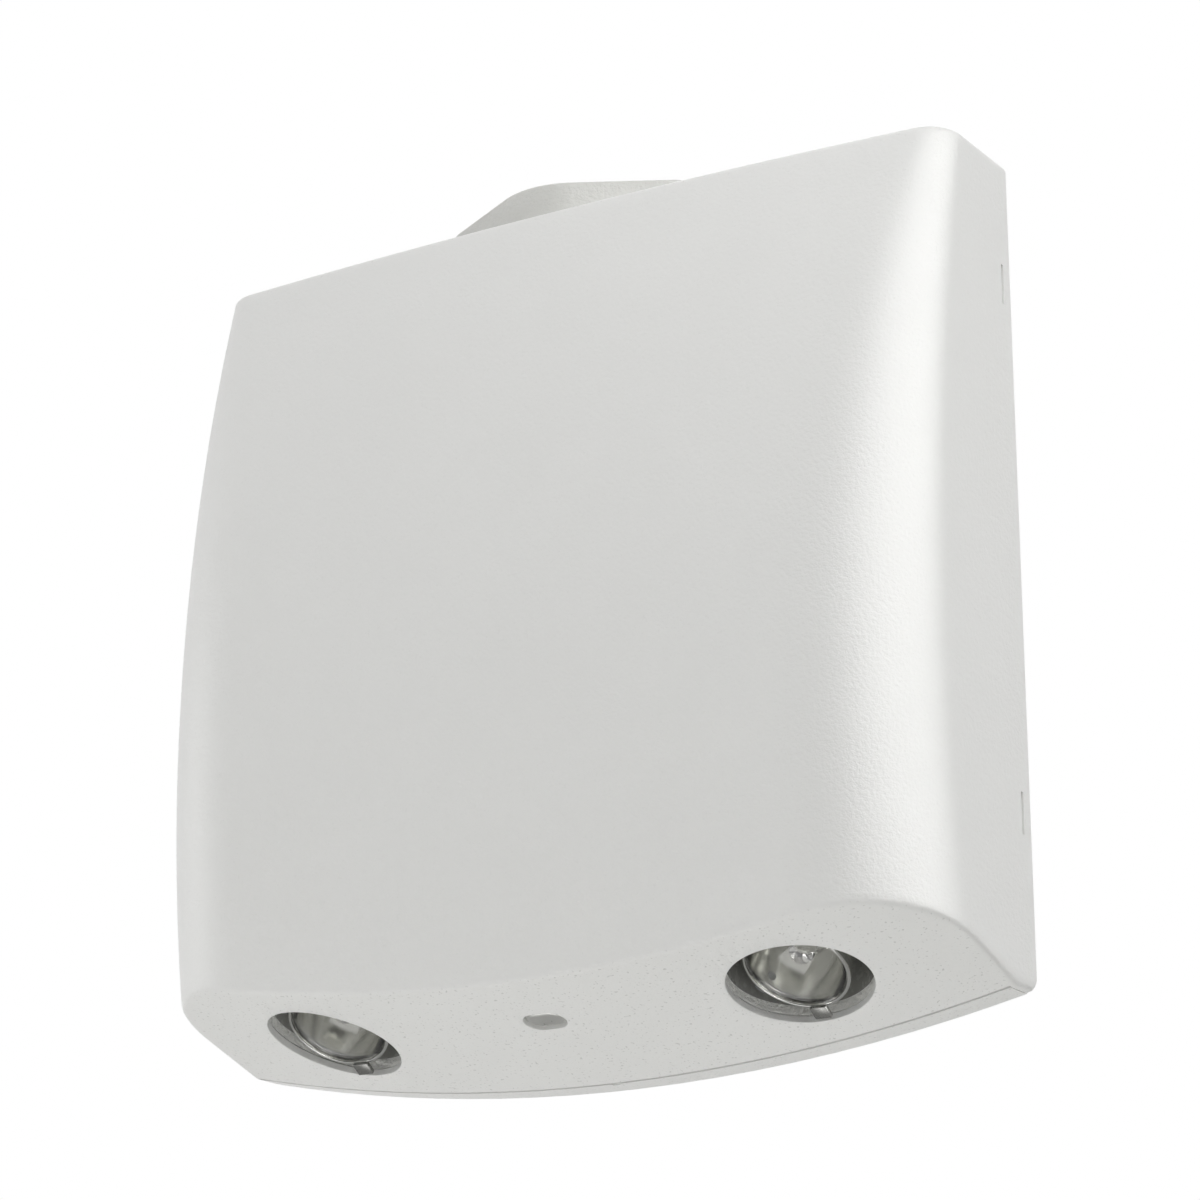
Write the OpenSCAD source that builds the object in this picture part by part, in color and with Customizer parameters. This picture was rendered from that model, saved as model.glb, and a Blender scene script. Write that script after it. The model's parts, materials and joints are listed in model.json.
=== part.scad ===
// Twin head emergency light: a bowed wall housing with two aimable lamps
// recessed in its sloping underside. Millimetres, +Z up, the wall is the
// plane y = 0, the front looks along -y, and the origin is the centre of the
// outlet box pattern on the wall face.

/* [Housing] */
// Width across the straight sides
body_w = 300; // [290:1:330]
// Height of the straight sides, from the top edge to the seam at a corner
body_h = 288; // [280:1:310]
// Height of the top edge over the centre of the outlet box pattern
top_rise = 110; // [100:1:130]
// Depth of the front at the top edge, near the corners
top_depth = 46.5; // [44:0.5:52]
// Depth of the front where it bulges most
belly_depth = 91; // [88:0.5:98]
// Drop of the deepest place of the front below the top edge
belly_drop = 203; // [190:1:215]
// Extra bow of the middle of the front at the top edge
top_bow = 5; // [2:0.5:8]
// Depth of the flat side faces at the top edge
side_top_depth = 32.5; // [30:0.5:36]
// Depth of the flat side faces at their widest
side_mid_depth = 53; // [50:0.5:58]
// Drop of the widest place of the side faces below the top edge
side_mid_drop = 165; // [150:1:180]
// Width of the rounded band between side and front at the top edge
band_top = 12; // [10:0.5:18]
// Width of the rounded band below the middle
band_mid = 43; // [36:0.5:46]
// Drop below which the band keeps its full width
band_drop = 180; // [160:1:200]
// Radius of the rounded top edge
top_round = 3; // [2:0.5:4]
// Wall of the moulded cover
wall = 2.5; // [2:0.1:3]

/* [Underside] */
// Depth of the seam between the cover and the back plate's lower flange
seam_depth = 14.6; // [12:0.1:18]
// Drop of the arched underside from its ends to its middle
arch_drop = 16.9; // [10:0.1:22]
// Angle at which the underside climbs towards the front
under_slope = 17.42; // [14:0.02:20]
// Chamfer of the lower edge by the wall
rear_chamfer = 2.5; // [1:0.5:4]

/* [Back plate] */
// Thickness of the plate against the wall
plate_t = 3; // [2.5:0.1:4]
// Thickness of the plate's rim
rim_t = 2.4; // [2:0.1:3]
// Gap between the rim and the cover that slides over it
rim_gap = 0.4; // [0.3:0.05:0.6]
// Gap between the cover and the wall
wall_gap = 0.5; // [0.3:0.1:1]
// Spacing of the four wall screws, across and up
wall_screw_pitch = 230; // [220:1:240]
// Radius of the wall screw holes
wall_screw_r = 2.4; // [2:0.1:3]
// Pitch circle of the outlet box screws
box_pcd = 88.9; // [83:0.1:90]
// Radius of the outlet box screw holes
box_screw_r = 2.6; // [2.2:0.1:3]
// Radius of the wire entry holes, for half inch trade size conduit
entry_r = 11.1; // [10:0.1:14]

/* [Snap tabs] */
// Depth of the snap tabs from the wall
snap_depth = 6.2; // [5.5:0.1:7]
// Length of a snap window
snap_len = 14.3; // [12:0.1:18]
// Width of a snap window
snap_w = 1.6; // [1.4:0.1:2]
// Drop of the upper pair's middle below the top edge
snap_upper_drop = 45.8; // [40:0.1:60]
// Drop of the lower pair's middle below the top edge
snap_lower_drop = 230.2; // [215:0.1:240]

/* [Conduit box] */
// Width of the raised conduit box on the top
hood_w = 100; // [80:1:110]
// Rise of the conduit box over the top edge
hood_rise = 14; // [10:0.5:20]
// Depth of the conduit box at the point of its prow, before rounding
hood_depth = 49.5; // [46:0.5:50]
// Offset of the conduit box from the middle, to the left
hood_offset = 13.7; // [0:0.1:20]
// Angle at which the two front faces fall back from the prow
hood_sweep = 28.4; // [20:0.1:30]
// Radius of the rounded prow
hood_nose_r = 30; // [20:1:34]
// Wall of the conduit box
hood_wall = 2.5; // [2:0.1:3]

/* [Lamps] */
// Distance of each lamp from its side of the housing
lamp_side = 59.4; // [56:0.1:66]
// Depth of the centre of each lamp opening from the wall
lamp_depth = 49.7; // [46:0.1:52]
// Radius of each lamp opening
lamp_hole_r = 23.85; // [23.5:0.05:25]
// Depth of the recess cup along its axis
cup_depth = 52; // [51:0.5:56]
// Depth of the tilting axis inside the opening
pivot_in = 11.2; // [10.5:0.1:12]
// Forward tilt of the lamp as photographed
lamp_tilt = 18; // [0:1:22]
// Turn of the yoke as photographed
lamp_turn = 27; // [0:1:45]
// Radius of the lamp's rim
lamp_r = 18; // [17:0.1:18.3]
// Height of the dome of the glass
lens_rise = 4.5; // [3:0.1:5]

/* [Test button] */
// Depth of the centre of the test button from the wall
button_depth = 58; // [56:0.5:60]
// Length of the button's cap
button_l = 15; // [12:0.5:16]
// Width of the button's cap
button_w = 10; // [8:0.5:11]
// Travel of the button
button_travel = 1; // [0.5:0.1:1.2]

/* [Battery and charger] */
// Width of the sealed battery
battery_w = 70; // [64:1:72]
// Depth of the sealed battery
battery_d = 47; // [40:1:50]
// Height of the sealed battery's case
battery_h = 101; // [90:1:104]
// Width of the charger's circuit board
board_w = 80; // [76:1:82]
// Height of the charger's circuit board
board_h = 120; // [112:1:124]
// Thickness of the circuit boards
board_t = 1.6; // [1.2:0.1:2]

/* [Hidden] */
// Overrun of the cuts
over = 1;
// Smallest gap left between neighbouring pieces
gap = 0.3;
// Clearance of a fit that runs, on the radius
fit = 0.05;
$fn = 48;

white = [0.90, 0.90, 0.89];
steel = [0.70, 0.71, 0.72];
half_w = body_w / 2;
lamp_x = half_w - lamp_side;
top_z = top_rise;
body_end = body_h + 2 * arch_drop;
// Inner side of the seam between the rim or flange and the cover
rim_depth = seam_depth - gap;
rim_half = half_w - wall - rim_gap;
rim_top = top_z - wall - rim_gap;

// Arched and sloping underside, a large cylinder lying along the slope
arch_n = arch_drop * cos(under_slope);
arch_r = (pow(half_w, 2) + pow(arch_n, 2)) / (2 * arch_n);
seam_z = top_z - body_h - arch_drop;

// Lamp cup and its screws
cup_wall = 1.8;
cup_floor = 2.5;
cup_out_r = lamp_hole_r + cup_wall;
ear_r = 3.6;
ear_t = 3;
ear_in = 14;
ear_reach = cup_out_r + gap + ear_r;
cup_screw_r = 1.4;
cup_screw_l = 10;
pin_out_r = 4;
pin_in_r = 3;
pin_flange_r = 6;
pin_flange_t = 0.8;

// Lamp yoke
yoke_t = 1.6;
yoke_w = 8;
yoke_disc_r = 14;
arm_in = 19.4;
yoke_top = cup_depth - cup_floor - fit;
yoke_floor = yoke_top - yoke_t;

// Lamp head, measured from its tilting axis with z into the body
pivot_r = 1.5;
pivot_head_r = 2.6;
pivot_head_t = 1;
pivot_boss_r = 3;
shell_t = 1.2;
shell_mouth = -3.2;
shell_bowl = 20;
shell_neck_r = 7.5;
shell_neck = 4.5;
shell_steps = 8;
ring_lip = 0.8;
ring_lip_w = 1.1;
ring_wall = 0.7;
lens_t = 1.8;
dome_steps = 8;
tab_w = 6;
tab_l = 4;
tab_t = 1.2;
capsule_r = 4.2;
capsule_l = 9;
pinch_h = 5;
pinch_t = 3;
lead_r = 0.5;
lead_pitch = 4;
lead_l = 3.5;
socket_r = 8;
socket_l = 8;

// Test button and indicator board, measured in from the underside
button_gap = 0.25;
button_recess = 0.8;
flange_rim = 1.5;
flange_t = 1.5;
stem_r = 2.2;
plunger_r = 1.75;
plunger_l = 3.1;
switch_w = 6;
switch_h = 3.6;
button_board_in = 16;
button_board_l = 40;
button_board_w = 20;
button_post = 15;
post_r = 3;
post_screw_r = 1.1;
post_screw_l = 7;
led_r = 1.5;
led_h = 4;
led_x = 6;
flange_in = wall + gap;
stem_in = flange_in + flange_t;
switch_in = button_board_in - switch_h;
plunger_in = switch_in - 1.5 * button_travel;

// Conduit box
hood_ear_w = 14;
hood_ear_t = 3;
hood_skirt = 12;
hood_corner_r = 8;
hood_screw_r = 1.4;
arc_steps = 6;

// Battery and its strap
battery_side = 22;
battery_left = battery_side - half_w;
battery_seat = -118;
battery_lid_h = 12;
battery_lid_in = 0.8;
shelf_t = 3;
shelf_d = 40;
shelf_rim = 4;
faston_w = 6.3;
faston_t = 0.8;
faston_h = 6.5;
faston_base = 2;
strap_w = 12;
strap_t = 1.2;
strap_foot = 12;
strap_rise_share = 0.5;
plate_screw_r = 1.4;

// Charger board and its parts
board_side = 98;
board_left = half_w - board_side;
board_low = -98;
standoff_h = 8;
standoff_r = 3.5;
board_inset = 5;
board_front = plate_t + standoff_h + board_t;
core_w = 48;
core_h = 40;
core_d = 16;
core_lift = 8;
core_x = board_left + board_w / 2;
core_z = -70;
coil_w = 30;
coil_h = 26;
coil_d = 32;
cap_r = 6.3;
cap_h = 22;
cap_on = 12;
cap_x = board_left + cap_on;
cap_pitch = 16;
cap_z = -20;
relay_w = 20;
relay_h = 15;
relay_d = 16;
relay_on = 63;
relay_x = board_left + relay_on;
relay_z = -28;
sink_w = 30;
sink_h = 24;
sink_d = 14;
sink_fins = 5;
sink_on = 56;
sink_x = board_left + sink_on;
sink_z = -4;
sink_base = 2;
transistor_w = 10;
transistor_h = 15;
transistor_d = 4.5;
block_w = 36;
block_h = 11;
block_d = 12;
block_ways = 3;
block_hole_r = 2;
block_on = 30;
block_x = board_left + block_on;
block_z = 15.5;

// Height of the upper wall screws, and the notch for prising the cover off
wall_screw_up = 85;
pry_w = 3;

// Seat of the lens, floor under the switch's plunger, foot of the lamp capsule
lens_seat = 2.2;
switch_floor = 0.6;
capsule_low = 2;

// Places worked out from the sizes above
shell_mouth_r = lamp_r - ring_wall - fit;
hood_ear_z = top_z - hood_skirt / 2;
hood_entry_depth = hood_depth / 2;
strap_z = battery_seat + battery_h * strap_rise_share;

// Middle of one foot of the battery strap
function strap_x(s) =
    battery_left + battery_w / 2 + s * (battery_w / 2 + gap + strap_t + strap_foot / 2);

// Middle of one ear of the conduit box
function hood_ear_x(s) = s * (hood_w / 2 - hood_wall / 2 - hood_ear_w / 2) - hood_offset;

// Counts of facets of the moulded cover
band_steps = 7;
bow_steps = 8;
height_steps = 11;
round_steps = 3;

// Depth of the side faces at a drop below the top edge
function side_at(drop) =
    side_mid_depth - (side_mid_depth - side_top_depth) * pow(drop / side_mid_drop - 1, 2);

// Depth of the front's outer parts at a drop below the top edge
function front_at(drop) =
    belly_depth - (belly_depth - top_depth) * pow(drop / belly_drop - 1, 2);

// Width of the rounded band at a drop below the top edge
function band_at(drop) =
    band_mid - (band_mid - band_top) * pow(max(0, 1 - drop / band_drop), 2);

// Bow of the front's middle at a drop below the top edge
function bow_at(drop) = top_bow * max(0, 1 - drop / belly_drop);

// How far the rounding draws the outline in near the top
function round_at(drop) =
    drop >= top_round ? 0 : top_round - sqrt(pow(top_round, 2) - pow(top_round - drop, 2));

// Front outline from the right side to the left at one drop, drawn in by an inset
function front_outline(drop, inset) =
    let (inner = half_w - band_at(drop))
    let (side = side_at(drop))
    let (front = front_at(drop) - inset)
    let (bow = bow_at(drop))
    let (reach = half_w - inset - inner)
    let (right = [for (i = [0:band_steps])
        let (turn = 90 * i / band_steps)
        [inner + reach * cos(turn), -side - (front - side) * sin(turn)]])
    let (middle = [for (i = [1:bow_steps - 1])
        let (across = inner * (1 - 2 * i / bow_steps))
        [across, -front - bow * (1 - pow(across / inner, 2))]])
    let (left = [for (i = [band_steps:-1:0]) [-right[i][0], right[i][1]]])
    concat(right, middle, left);

// Closed outline at one drop, its back edge at the given depth
function ring_at(drop, inset, back) =
    let (edge = half_w - inset)
    [for (p = concat([[edge, -back]], front_outline(drop, inset), [[-edge, -back]]))
        [p[0], p[1], top_z - drop]];

// Solid with the cover's outer form, drawn in by an inset
module body_form(inset, back) {
    starts = [for (i = [0:round_steps - 1]) top_round * (1 - cos(90 * i / round_steps))];
    bodies = [for (i = [0:height_steps]) top_round + (body_end - top_round) * i / height_steps];
    drops = concat(starts, bodies);
    rings = [for (d = drops) ring_at(d + inset, inset + round_at(d), back)];
    n = len(rings[0]);
    m = len(rings);
    points = [for (ring = rings) for (p = ring) p];
    top_face = [[for (i = [0:n - 1]) i]];
    end_face = [[for (i = [n - 1:-1:0]) (m - 1) * n + i]];
    skin = [for (j = [0:m - 2]) for (i = [0:n - 1])
        let (k = (i + 1) % n)
        each [[j * n + i, (j + 1) * n + i, (j + 1) * n + k], [j * n + i, (j + 1) * n + k, j * n + k]]];
    polyhedron(points = points, faces = concat(top_face, skin, end_face), convexity = 4);
}

// Places the centre line of the underside's cylinder
module at_arch() {
    translate([0, arch_r * sin(under_slope) - seam_depth, seam_z + arch_r * cos(under_slope)])
        rotate([-under_slope, 0, 0])
            children();
}

// Everything over the slope of the underside, drawn in by an inset
module slope_form(inset) {
    at_arch()
        rotate([90, 0, 0])
            cylinder(r = arch_r - inset, h = 4 * belly_depth, center = true, $fn = 720);
}

// Everything over a cylinder that meets the seam's arch at a depth, and from
// there climbs towards the wall
module back_form(inset, depth, climb) {
    r = arch_r * cos(under_slope) / cos(climb);
    translate([0, -depth, seam_z])
        rotate([climb, 0, 0])
            translate([0, 0, r])
                rotate([90, 0, 0])
                    cylinder(r = r - inset, h = 4 * body_h, center = true, $fn = 720);
}

// Everything over the underside, drawn in by an inset: it slopes in front of
// the seam, is level behind it and is chamfered along the wall
module under_form(inset) {
    intersection() {
        slope_form(inset);
        back_form(inset, seam_depth, 0);
        back_form(inset, rear_chamfer, 45);
    }
}

// Frame on the underside: x to the right, y to the wall, z square into the body
module on_under(across, depth) {
    lean = asin(across / arch_r);
    along = (depth - seam_depth + arch_r * sin(under_slope) * (1 - cos(lean))) / cos(under_slope);
    at_arch()
        translate([0, -along, 0])
            rotate([0, -lean, 0])
                translate([0, 0, -arch_r])
                    children();
}

// Right lamp's opening, or its mirror image on the left
module at_lamp(side) {
    mirror([side < 0 ? 1 : 0, 0, 0])
        on_under(lamp_x, lamp_depth)
            children();
}

// Bar with two round ends, standing along z
module round_bar(length, width, height) {
    reach = (length - width) / 2;
    for (s = [-1, 1])
        translate([s * reach, 0, 0])
            cylinder(d = width, h = height);
    translate([-reach, -width / 2, 0])
        cube([2 * reach, width, height]);
}

// Pan head screw whose head sits on z = 0 and whose shank runs down
module pan_screw(shank_r, shank_l) {
    head_r = shank_r * 2;
    head_h = shank_r * 1.3;
    difference() {
        union() {
            cylinder(r = head_r, h = head_h);
            translate([0, 0, -shank_l])
                cylinder(r = shank_r, h = shank_l + head_h / 2);
        }
        for (turn = [0, 90])
            rotate([0, 0, turn])
                translate([-head_r / 2, -head_r / 8, head_h / 2])
                    cube([head_r, head_r / 4, head_h]);
    }
}

// Frame on the wall plate: z points away from the wall
module on_plate(x, depth, z) {
    translate([x, -depth, z])
        rotate([90, 0, 0])
            children();
}

// Places something at each corner screw of the charger board
module at_board_screws(depth) {
    for (x = [board_inset, board_w - board_inset])
        for (z = [board_inset, board_h - board_inset])
            on_plate(board_left + x, depth, board_low + z)
                children();
}

// Outline of the conduit box in plan, drawn in by an inset
function hood_outline(inset) =
    let (half = hood_w / 2 - inset)
    let (tip = hood_depth - inset / cos(hood_sweep))
    let (nose = hood_nose_r - inset)
    let (corner = hood_corner_r - inset)
    let (nose_c = tip - nose / cos(hood_sweep))
    let (flank = tip - half * tan(hood_sweep))
    let (corner_c = flank - corner * tan(45 - hood_sweep / 2))
    let (right = [for (i = [0:arc_steps])
        let (turn = (90 - hood_sweep) * i / arc_steps)
        [half - corner + corner * cos(turn), -corner_c - corner * sin(turn)]])
    let (arc = [for (i = [0:2 * arc_steps])
        let (turn = 90 - hood_sweep + hood_sweep * i / arc_steps)
        [nose * cos(turn), -nose_c - nose * sin(turn)]])
    let (left = [for (i = [arc_steps:-1:0]) [-right[i][0], right[i][1]]])
    concat([[half, 0]], right, arc, left, [[-half, 0]]);

// Solid of the conduit box's plan between two heights, cut off at the back
module hood_form(inset, low, high, back) {
    translate([-hood_offset, 0, low])
        linear_extrude(height = high - low)
            difference() {
                polygon(hood_outline(inset));
                translate([-hood_w, -back])
                    square([2 * hood_w, hood_w]);
            }
}

// Thin slots through which the back plate's tabs hold the cover
module snap_windows() {
    for (s = [-1, 1])
        for (drop = [snap_upper_drop, snap_lower_drop])
            translate([s * (half_w - wall / 2), -snap_depth, top_z - drop])
                cube([wall + 2 * over, snap_w, snap_len], center = true);
}

module front_cover() {
    color(white)
        difference() {
            union() {
                difference() {
                    intersection() {
                        body_form(0, wall_gap);
                        under_form(0);
                    }
                    intersection() {
                        body_form(wall, -over);
                        under_form(wall);
                    }
                }
                for (side = [-1, 1])
                    at_lamp(side)
                        for (s = [-1, 1])
                            translate([s * ear_reach, 0, wall / 2])
                                cylinder(r = ear_r, h = ear_in - wall / 2);
                on_under(0, button_depth)
                    for (s = [-1, 1])
                        translate([s * button_post, 0, wall / 2])
                            cylinder(r = post_r, h = button_board_in - wall / 2);
            }
            for (side = [-1, 1])
                at_lamp(side) {
                    translate([0, 0, -2 * over])
                        cylinder(r = lamp_hole_r, h = wall + 4 * over);
                    for (s = [-1, 1])
                        translate([s * ear_reach, 0, ear_in - cup_screw_l + ear_t])
                            cylinder(r = cup_screw_r, h = cup_screw_l);
                }
            on_under(0, button_depth) {
                translate([0, 0, -over])
                    round_bar(button_l + 2 * button_gap, button_w + 2 * button_gap, wall + 2 * over);
                for (s = [-1, 1])
                    translate([s * button_post, 0, button_board_in + board_t - post_screw_l])
                        cylinder(r = post_screw_r, h = post_screw_l);
            }
            hood_form(-rim_gap, top_z - 2 * wall, top_z + over, -over);
            translate([wall - half_w, -seam_depth, top_z - body_h - body_h / 4])
                cube([2 * (half_w - wall), seam_depth + over, body_h / 4 + 2 * wall]);
            snap_windows();
        }
}

// Outline of the back plate's rim, whose upper corners follow the cover's inside
module rim_outline() {
    corner_r = top_round - rim_gap;
    translate([-rim_half, rim_top - 2 * body_h])
        square([2 * rim_half, 2 * body_h - corner_r]);
    translate([corner_r - rim_half, rim_top - 2 * body_h])
        square([2 * (rim_half - corner_r), 2 * body_h]);
    for (s = [-1, 1])
        translate([s * (rim_half - corner_r), rim_top - corner_r])
            circle(r = corner_r);
}

module back_plate() {
    color(white)
        difference() {
            union() {
                difference() {
                    intersection() {
                        on_plate(0, 0, 0)
                            linear_extrude(height = rim_depth)
                                rim_outline();
                        under_form(0);
                    }
                    intersection() {
                        translate([rim_t - rim_half, -2 * rim_depth, rim_top - 2 * body_h - rim_t])
                            cube([2 * (rim_half - rim_t), 2 * rim_depth - plate_t, 2 * body_h]);
                        under_form(wall);
                    }
                }
                for (s = [-1, 1])
                    for (drop = [snap_upper_drop, snap_lower_drop])
                        translate([s * (half_w - wall - gap), -snap_depth, top_z - drop])
                            cube([2 * wall - 2 * gap, snap_w - 2 * gap, snap_len - 2 * gap], center = true);
                at_board_screws(plate_t / 2)
                    cylinder(r = standoff_r, h = standoff_h + plate_t / 2);
                battery_shelf();
            }
            on_plate(0, -over, 0)
                cylinder(r = entry_r, h = plate_t + 2 * over);
            for (turn = [0:90:270])
                on_plate(box_pcd / 2 * cos(turn), -over, box_pcd / 2 * sin(turn))
                    cylinder(r = box_screw_r, h = plate_t + 2 * over);
            for (s = [-1, 1])
                for (z = [wall_screw_up, wall_screw_up - wall_screw_pitch])
                    on_plate(s * wall_screw_pitch / 2, -over, z)
                        cylinder(r = wall_screw_r, h = plate_t + 2 * over);
            at_board_screws(plate_t)
                cylinder(r = plate_screw_r, h = standoff_h + over);
            for (s = [-1, 1])
                on_plate(strap_x(s), -over, strap_z)
                    cylinder(r = plate_screw_r, h = plate_t + 2 * over);
            for (s = [-1, 1])
                on_plate(hood_ear_x(s), -over, hood_ear_z)
                    cylinder(r = hood_screw_r, h = plate_t + 2 * over);
            hood_form(-gap, top_z - hood_skirt - gap, top_z + over, plate_t);
            translate([-pry_w / 2, -rim_depth - over, seam_z - over])
                cube([pry_w, pry_w / 2 + over, pry_w / 2 + over]);
        }
}

// Shelf under the battery, with a low stop at each end
module battery_shelf() {
    left = battery_left - gap - shelf_t;
    span = battery_w + 2 * gap + 2 * shelf_t;
    translate([left, -plate_t - shelf_d, battery_seat - shelf_t])
        cube([span, plate_t / 2 + shelf_d, shelf_t]);
    for (x = [left, left + span - shelf_t])
        translate([x, -plate_t - shelf_d, battery_seat - shelf_t])
            cube([shelf_t, plate_t / 2 + shelf_d, shelf_t + shelf_rim]);
}

module conduit_box() {
    color(white)
        difference() {
            union() {
                difference() {
                    union() {
                        hood_form(0, rim_top + gap, top_z + hood_rise, 0);
                        hood_form(0, top_z - hood_skirt, rim_top + 2 * gap, plate_t);
                    }
                    hood_form(hood_wall, top_z - 2 * hood_skirt, top_z + hood_rise - hood_wall, hood_wall);
                }
                for (s = [-1, 1])
                    translate([hood_ear_x(s) - hood_ear_w / 2, -plate_t - hood_ear_t, top_z - hood_skirt])
                        cube([hood_ear_w, hood_ear_t, hood_skirt]);
            }
            for (s = [-1, 1])
                on_plate(hood_ear_x(s), 0, hood_ear_z)
                    cylinder(r = hood_screw_r, h = plate_t + hood_ear_t + over);
            translate([-hood_offset, -hood_entry_depth, top_z])
                cylinder(r = entry_r, h = hood_rise + over);
        }
}

module conduit_box_screws() {
    color(steel)
        for (s = [-1, 1])
            on_plate(hood_ear_x(s), plate_t + hood_ear_t, hood_ear_z)
                pan_screw(hood_screw_r - fit, plate_t / 2 + hood_ear_t);
}

module lamp_cup(side) {
    web_w = ear_reach - lamp_hole_r - cup_wall / 2;
    color([0.82, 0.82, 0.80])
        intersection() {
            at_lamp(side)
                difference() {
                    union() {
                        cylinder(r = cup_out_r, h = cup_depth);
                        for (s = [-1, 1]) {
                            translate([s * ear_reach, 0, ear_in])
                                cylinder(r = ear_r, h = ear_t);
                            translate([s * (cup_out_r + ear_reach) / 2, 0, ear_in + ear_t / 2])
                                cube([web_w, 2 * ear_r, ear_t], center = true);
                        }
                    }
                    translate([0, 0, -over])
                        cylinder(r = lamp_hole_r, h = cup_depth - cup_floor + over);
                    cylinder(r = pin_out_r, h = cup_depth + over);
                    for (s = [-1, 1])
                        translate([s * ear_reach, 0, ear_in - over])
                            cylinder(r = cup_screw_r, h = ear_t + 2 * over);
                }
            slope_form(wall + gap);
        }
}

module cup_screws() {
    color(steel)
        for (side = [-1, 1])
            at_lamp(side)
                for (s = [-1, 1])
                    translate([s * ear_reach, 0, ear_in + ear_t])
                        pan_screw(cup_screw_r - fit, cup_screw_l - over);
}

// Hollow rivet on which the yoke turns and through which the leads pass
module swivel_pin(side) {
    low = yoke_floor - fit - pin_flange_t;
    high = cup_depth + pin_flange_t;
    color([0.80, 0.66, 0.36])
        at_lamp(side)
            difference() {
                union() {
                    translate([0, 0, low])
                        cylinder(r = pin_out_r - fit, h = high - low);
                    translate([0, 0, low])
                        cylinder(r = pin_flange_r, h = pin_flange_t);
                    translate([0, 0, cup_depth])
                        cylinder(r = pin_flange_r, h = pin_flange_t);
                }
                translate([0, 0, low - over])
                    cylinder(r = pin_in_r, h = high - low + 2 * over);
            }
}

module lamp_yoke(side) {
    color(steel)
        at_lamp(side)
            rotate([0, 0, -lamp_turn])
                difference() {
                    union() {
                        translate([0, 0, yoke_floor])
                            cylinder(r = yoke_disc_r, h = yoke_t);
                        translate([-arm_in - yoke_t, -yoke_w / 2, yoke_floor])
                            cube([2 * (arm_in + yoke_t), yoke_w, yoke_t]);
                        for (s = [0, 1])
                            mirror([s, 0, 0])
                                translate([arm_in, 0, pivot_in]) {
                                    translate([0, -yoke_w / 2, 0])
                                        cube([yoke_t, yoke_w, yoke_top - pivot_in]);
                                    rotate([0, 90, 0])
                                        cylinder(r = yoke_w / 2, h = yoke_t);
                                }
                    }
                    translate([0, 0, yoke_floor - over])
                        cylinder(r = pin_out_r, h = yoke_t + 2 * over);
                    translate([-arm_in - 2 * yoke_t, 0, pivot_in])
                        rotate([0, 90, 0])
                            cylinder(r = pivot_r + fit, h = 2 * (arm_in + 2 * yoke_t));
                }
}

// Frame of a lamp head: x along its tilting axis, z into the body
module at_head(side) {
    at_lamp(side)
        rotate([0, 0, -lamp_turn])
            translate([0, 0, pivot_in])
                rotate([-lamp_tilt, 0, 0])
                    children();
}

// Side wall of the reflector, from its mouth to its neck
function bowl_line(neck, depth) =
    [for (i = [0:shell_steps])
        let (turn = 90 * i / shell_steps)
        [neck + (shell_mouth_r - shell_neck_r) * cos(turn), shell_mouth + depth * sin(turn)]];

module lamp_shell(side) {
    neck_end = shell_mouth + shell_bowl + shell_neck;
    inner = bowl_line(shell_neck_r - shell_t, shell_bowl - shell_t);
    profile = concat(
        bowl_line(shell_neck_r, shell_bowl),
        [[shell_neck_r, neck_end], [shell_neck_r - shell_t, neck_end]],
        [for (i = [shell_steps:-1:0]) inner[i]]
    );
    boss_out = arm_in - gap;
    color([0.78, 0.78, 0.77])
        at_head(side)
            difference() {
                union() {
                    rotate_extrude()
                        polygon(profile);
                    for (s = [0, 1])
                        mirror([s, 0, 0])
                            translate([shell_mouth_r - shell_t / 2, 0, 0])
                                rotate([0, 90, 0])
                                    cylinder(r = pivot_boss_r, h = boss_out - shell_mouth_r + shell_t / 2);
                }
                translate([-arm_in, 0, 0])
                    rotate([0, 90, 0])
                        cylinder(r = pivot_r, h = 2 * arm_in);
            }
}

module pivot_pins(side) {
    reach = arm_in + yoke_t + fit;
    color([0.80, 0.66, 0.36])
        at_head(side)
            for (s = [0, 1])
                mirror([s, 0, 0])
                    rotate([0, 90, 0]) {
                        translate([0, 0, shell_mouth_r])
                            cylinder(r = pivot_r, h = reach - shell_mouth_r);
                        translate([0, 0, reach])
                            cylinder(r = pivot_head_r, h = pivot_head_t);
                    }
}

module lens_ring(side) {
    front = shell_mouth - lens_seat - ring_lip;
    color([0.72, 0.72, 0.71])
        at_head(side) {
            difference() {
                translate([0, 0, front])
                    cylinder(r = lamp_r, h = shell_mouth - front);
                translate([0, 0, front + ring_lip])
                    cylinder(r = lamp_r - ring_wall, h = lens_seat + over);
                translate([0, 0, front - over])
                    cylinder(r = lamp_r - ring_lip_w, h = lens_seat + over);
            }
            rotate([0, 0, 90 + lamp_turn])
                translate([lamp_r - ring_lip_w, -tab_w / 2, front - tab_t])
                    cube([ring_lip_w + tab_l, tab_w, tab_t + ring_lip / 2]);
        }
}

module lamp_lens(side) {
    back = shell_mouth;
    front = back - lens_seat;
    dome_r = lamp_r - ring_lip_w - ring_wall / 2;
    ball_r = (pow(dome_r, 2) + pow(lens_rise, 2)) / (2 * lens_rise);
    centre = front - lens_rise + ball_r;
    inner_r = ball_r - lens_t;
    outer_end = asin(dome_r / ball_r);
    inner_end = acos((centre - back) / inner_r);
    profile = concat(
        [for (i = [0:dome_steps])
            let (turn = outer_end * i / dome_steps)
            [ball_r * sin(turn), centre - ball_r * cos(turn)]],
        [[lamp_r - ring_wall - fit, front], [lamp_r - ring_wall - fit, back]],
        [for (i = [dome_steps:-1:0])
            let (turn = inner_end * i / dome_steps)
            [inner_r * sin(turn), centre - inner_r * cos(turn)]]
    );
    color([0.80, 0.88, 0.92, 0.5])
        at_head(side)
            rotate_extrude()
                polygon(profile);
}

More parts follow.
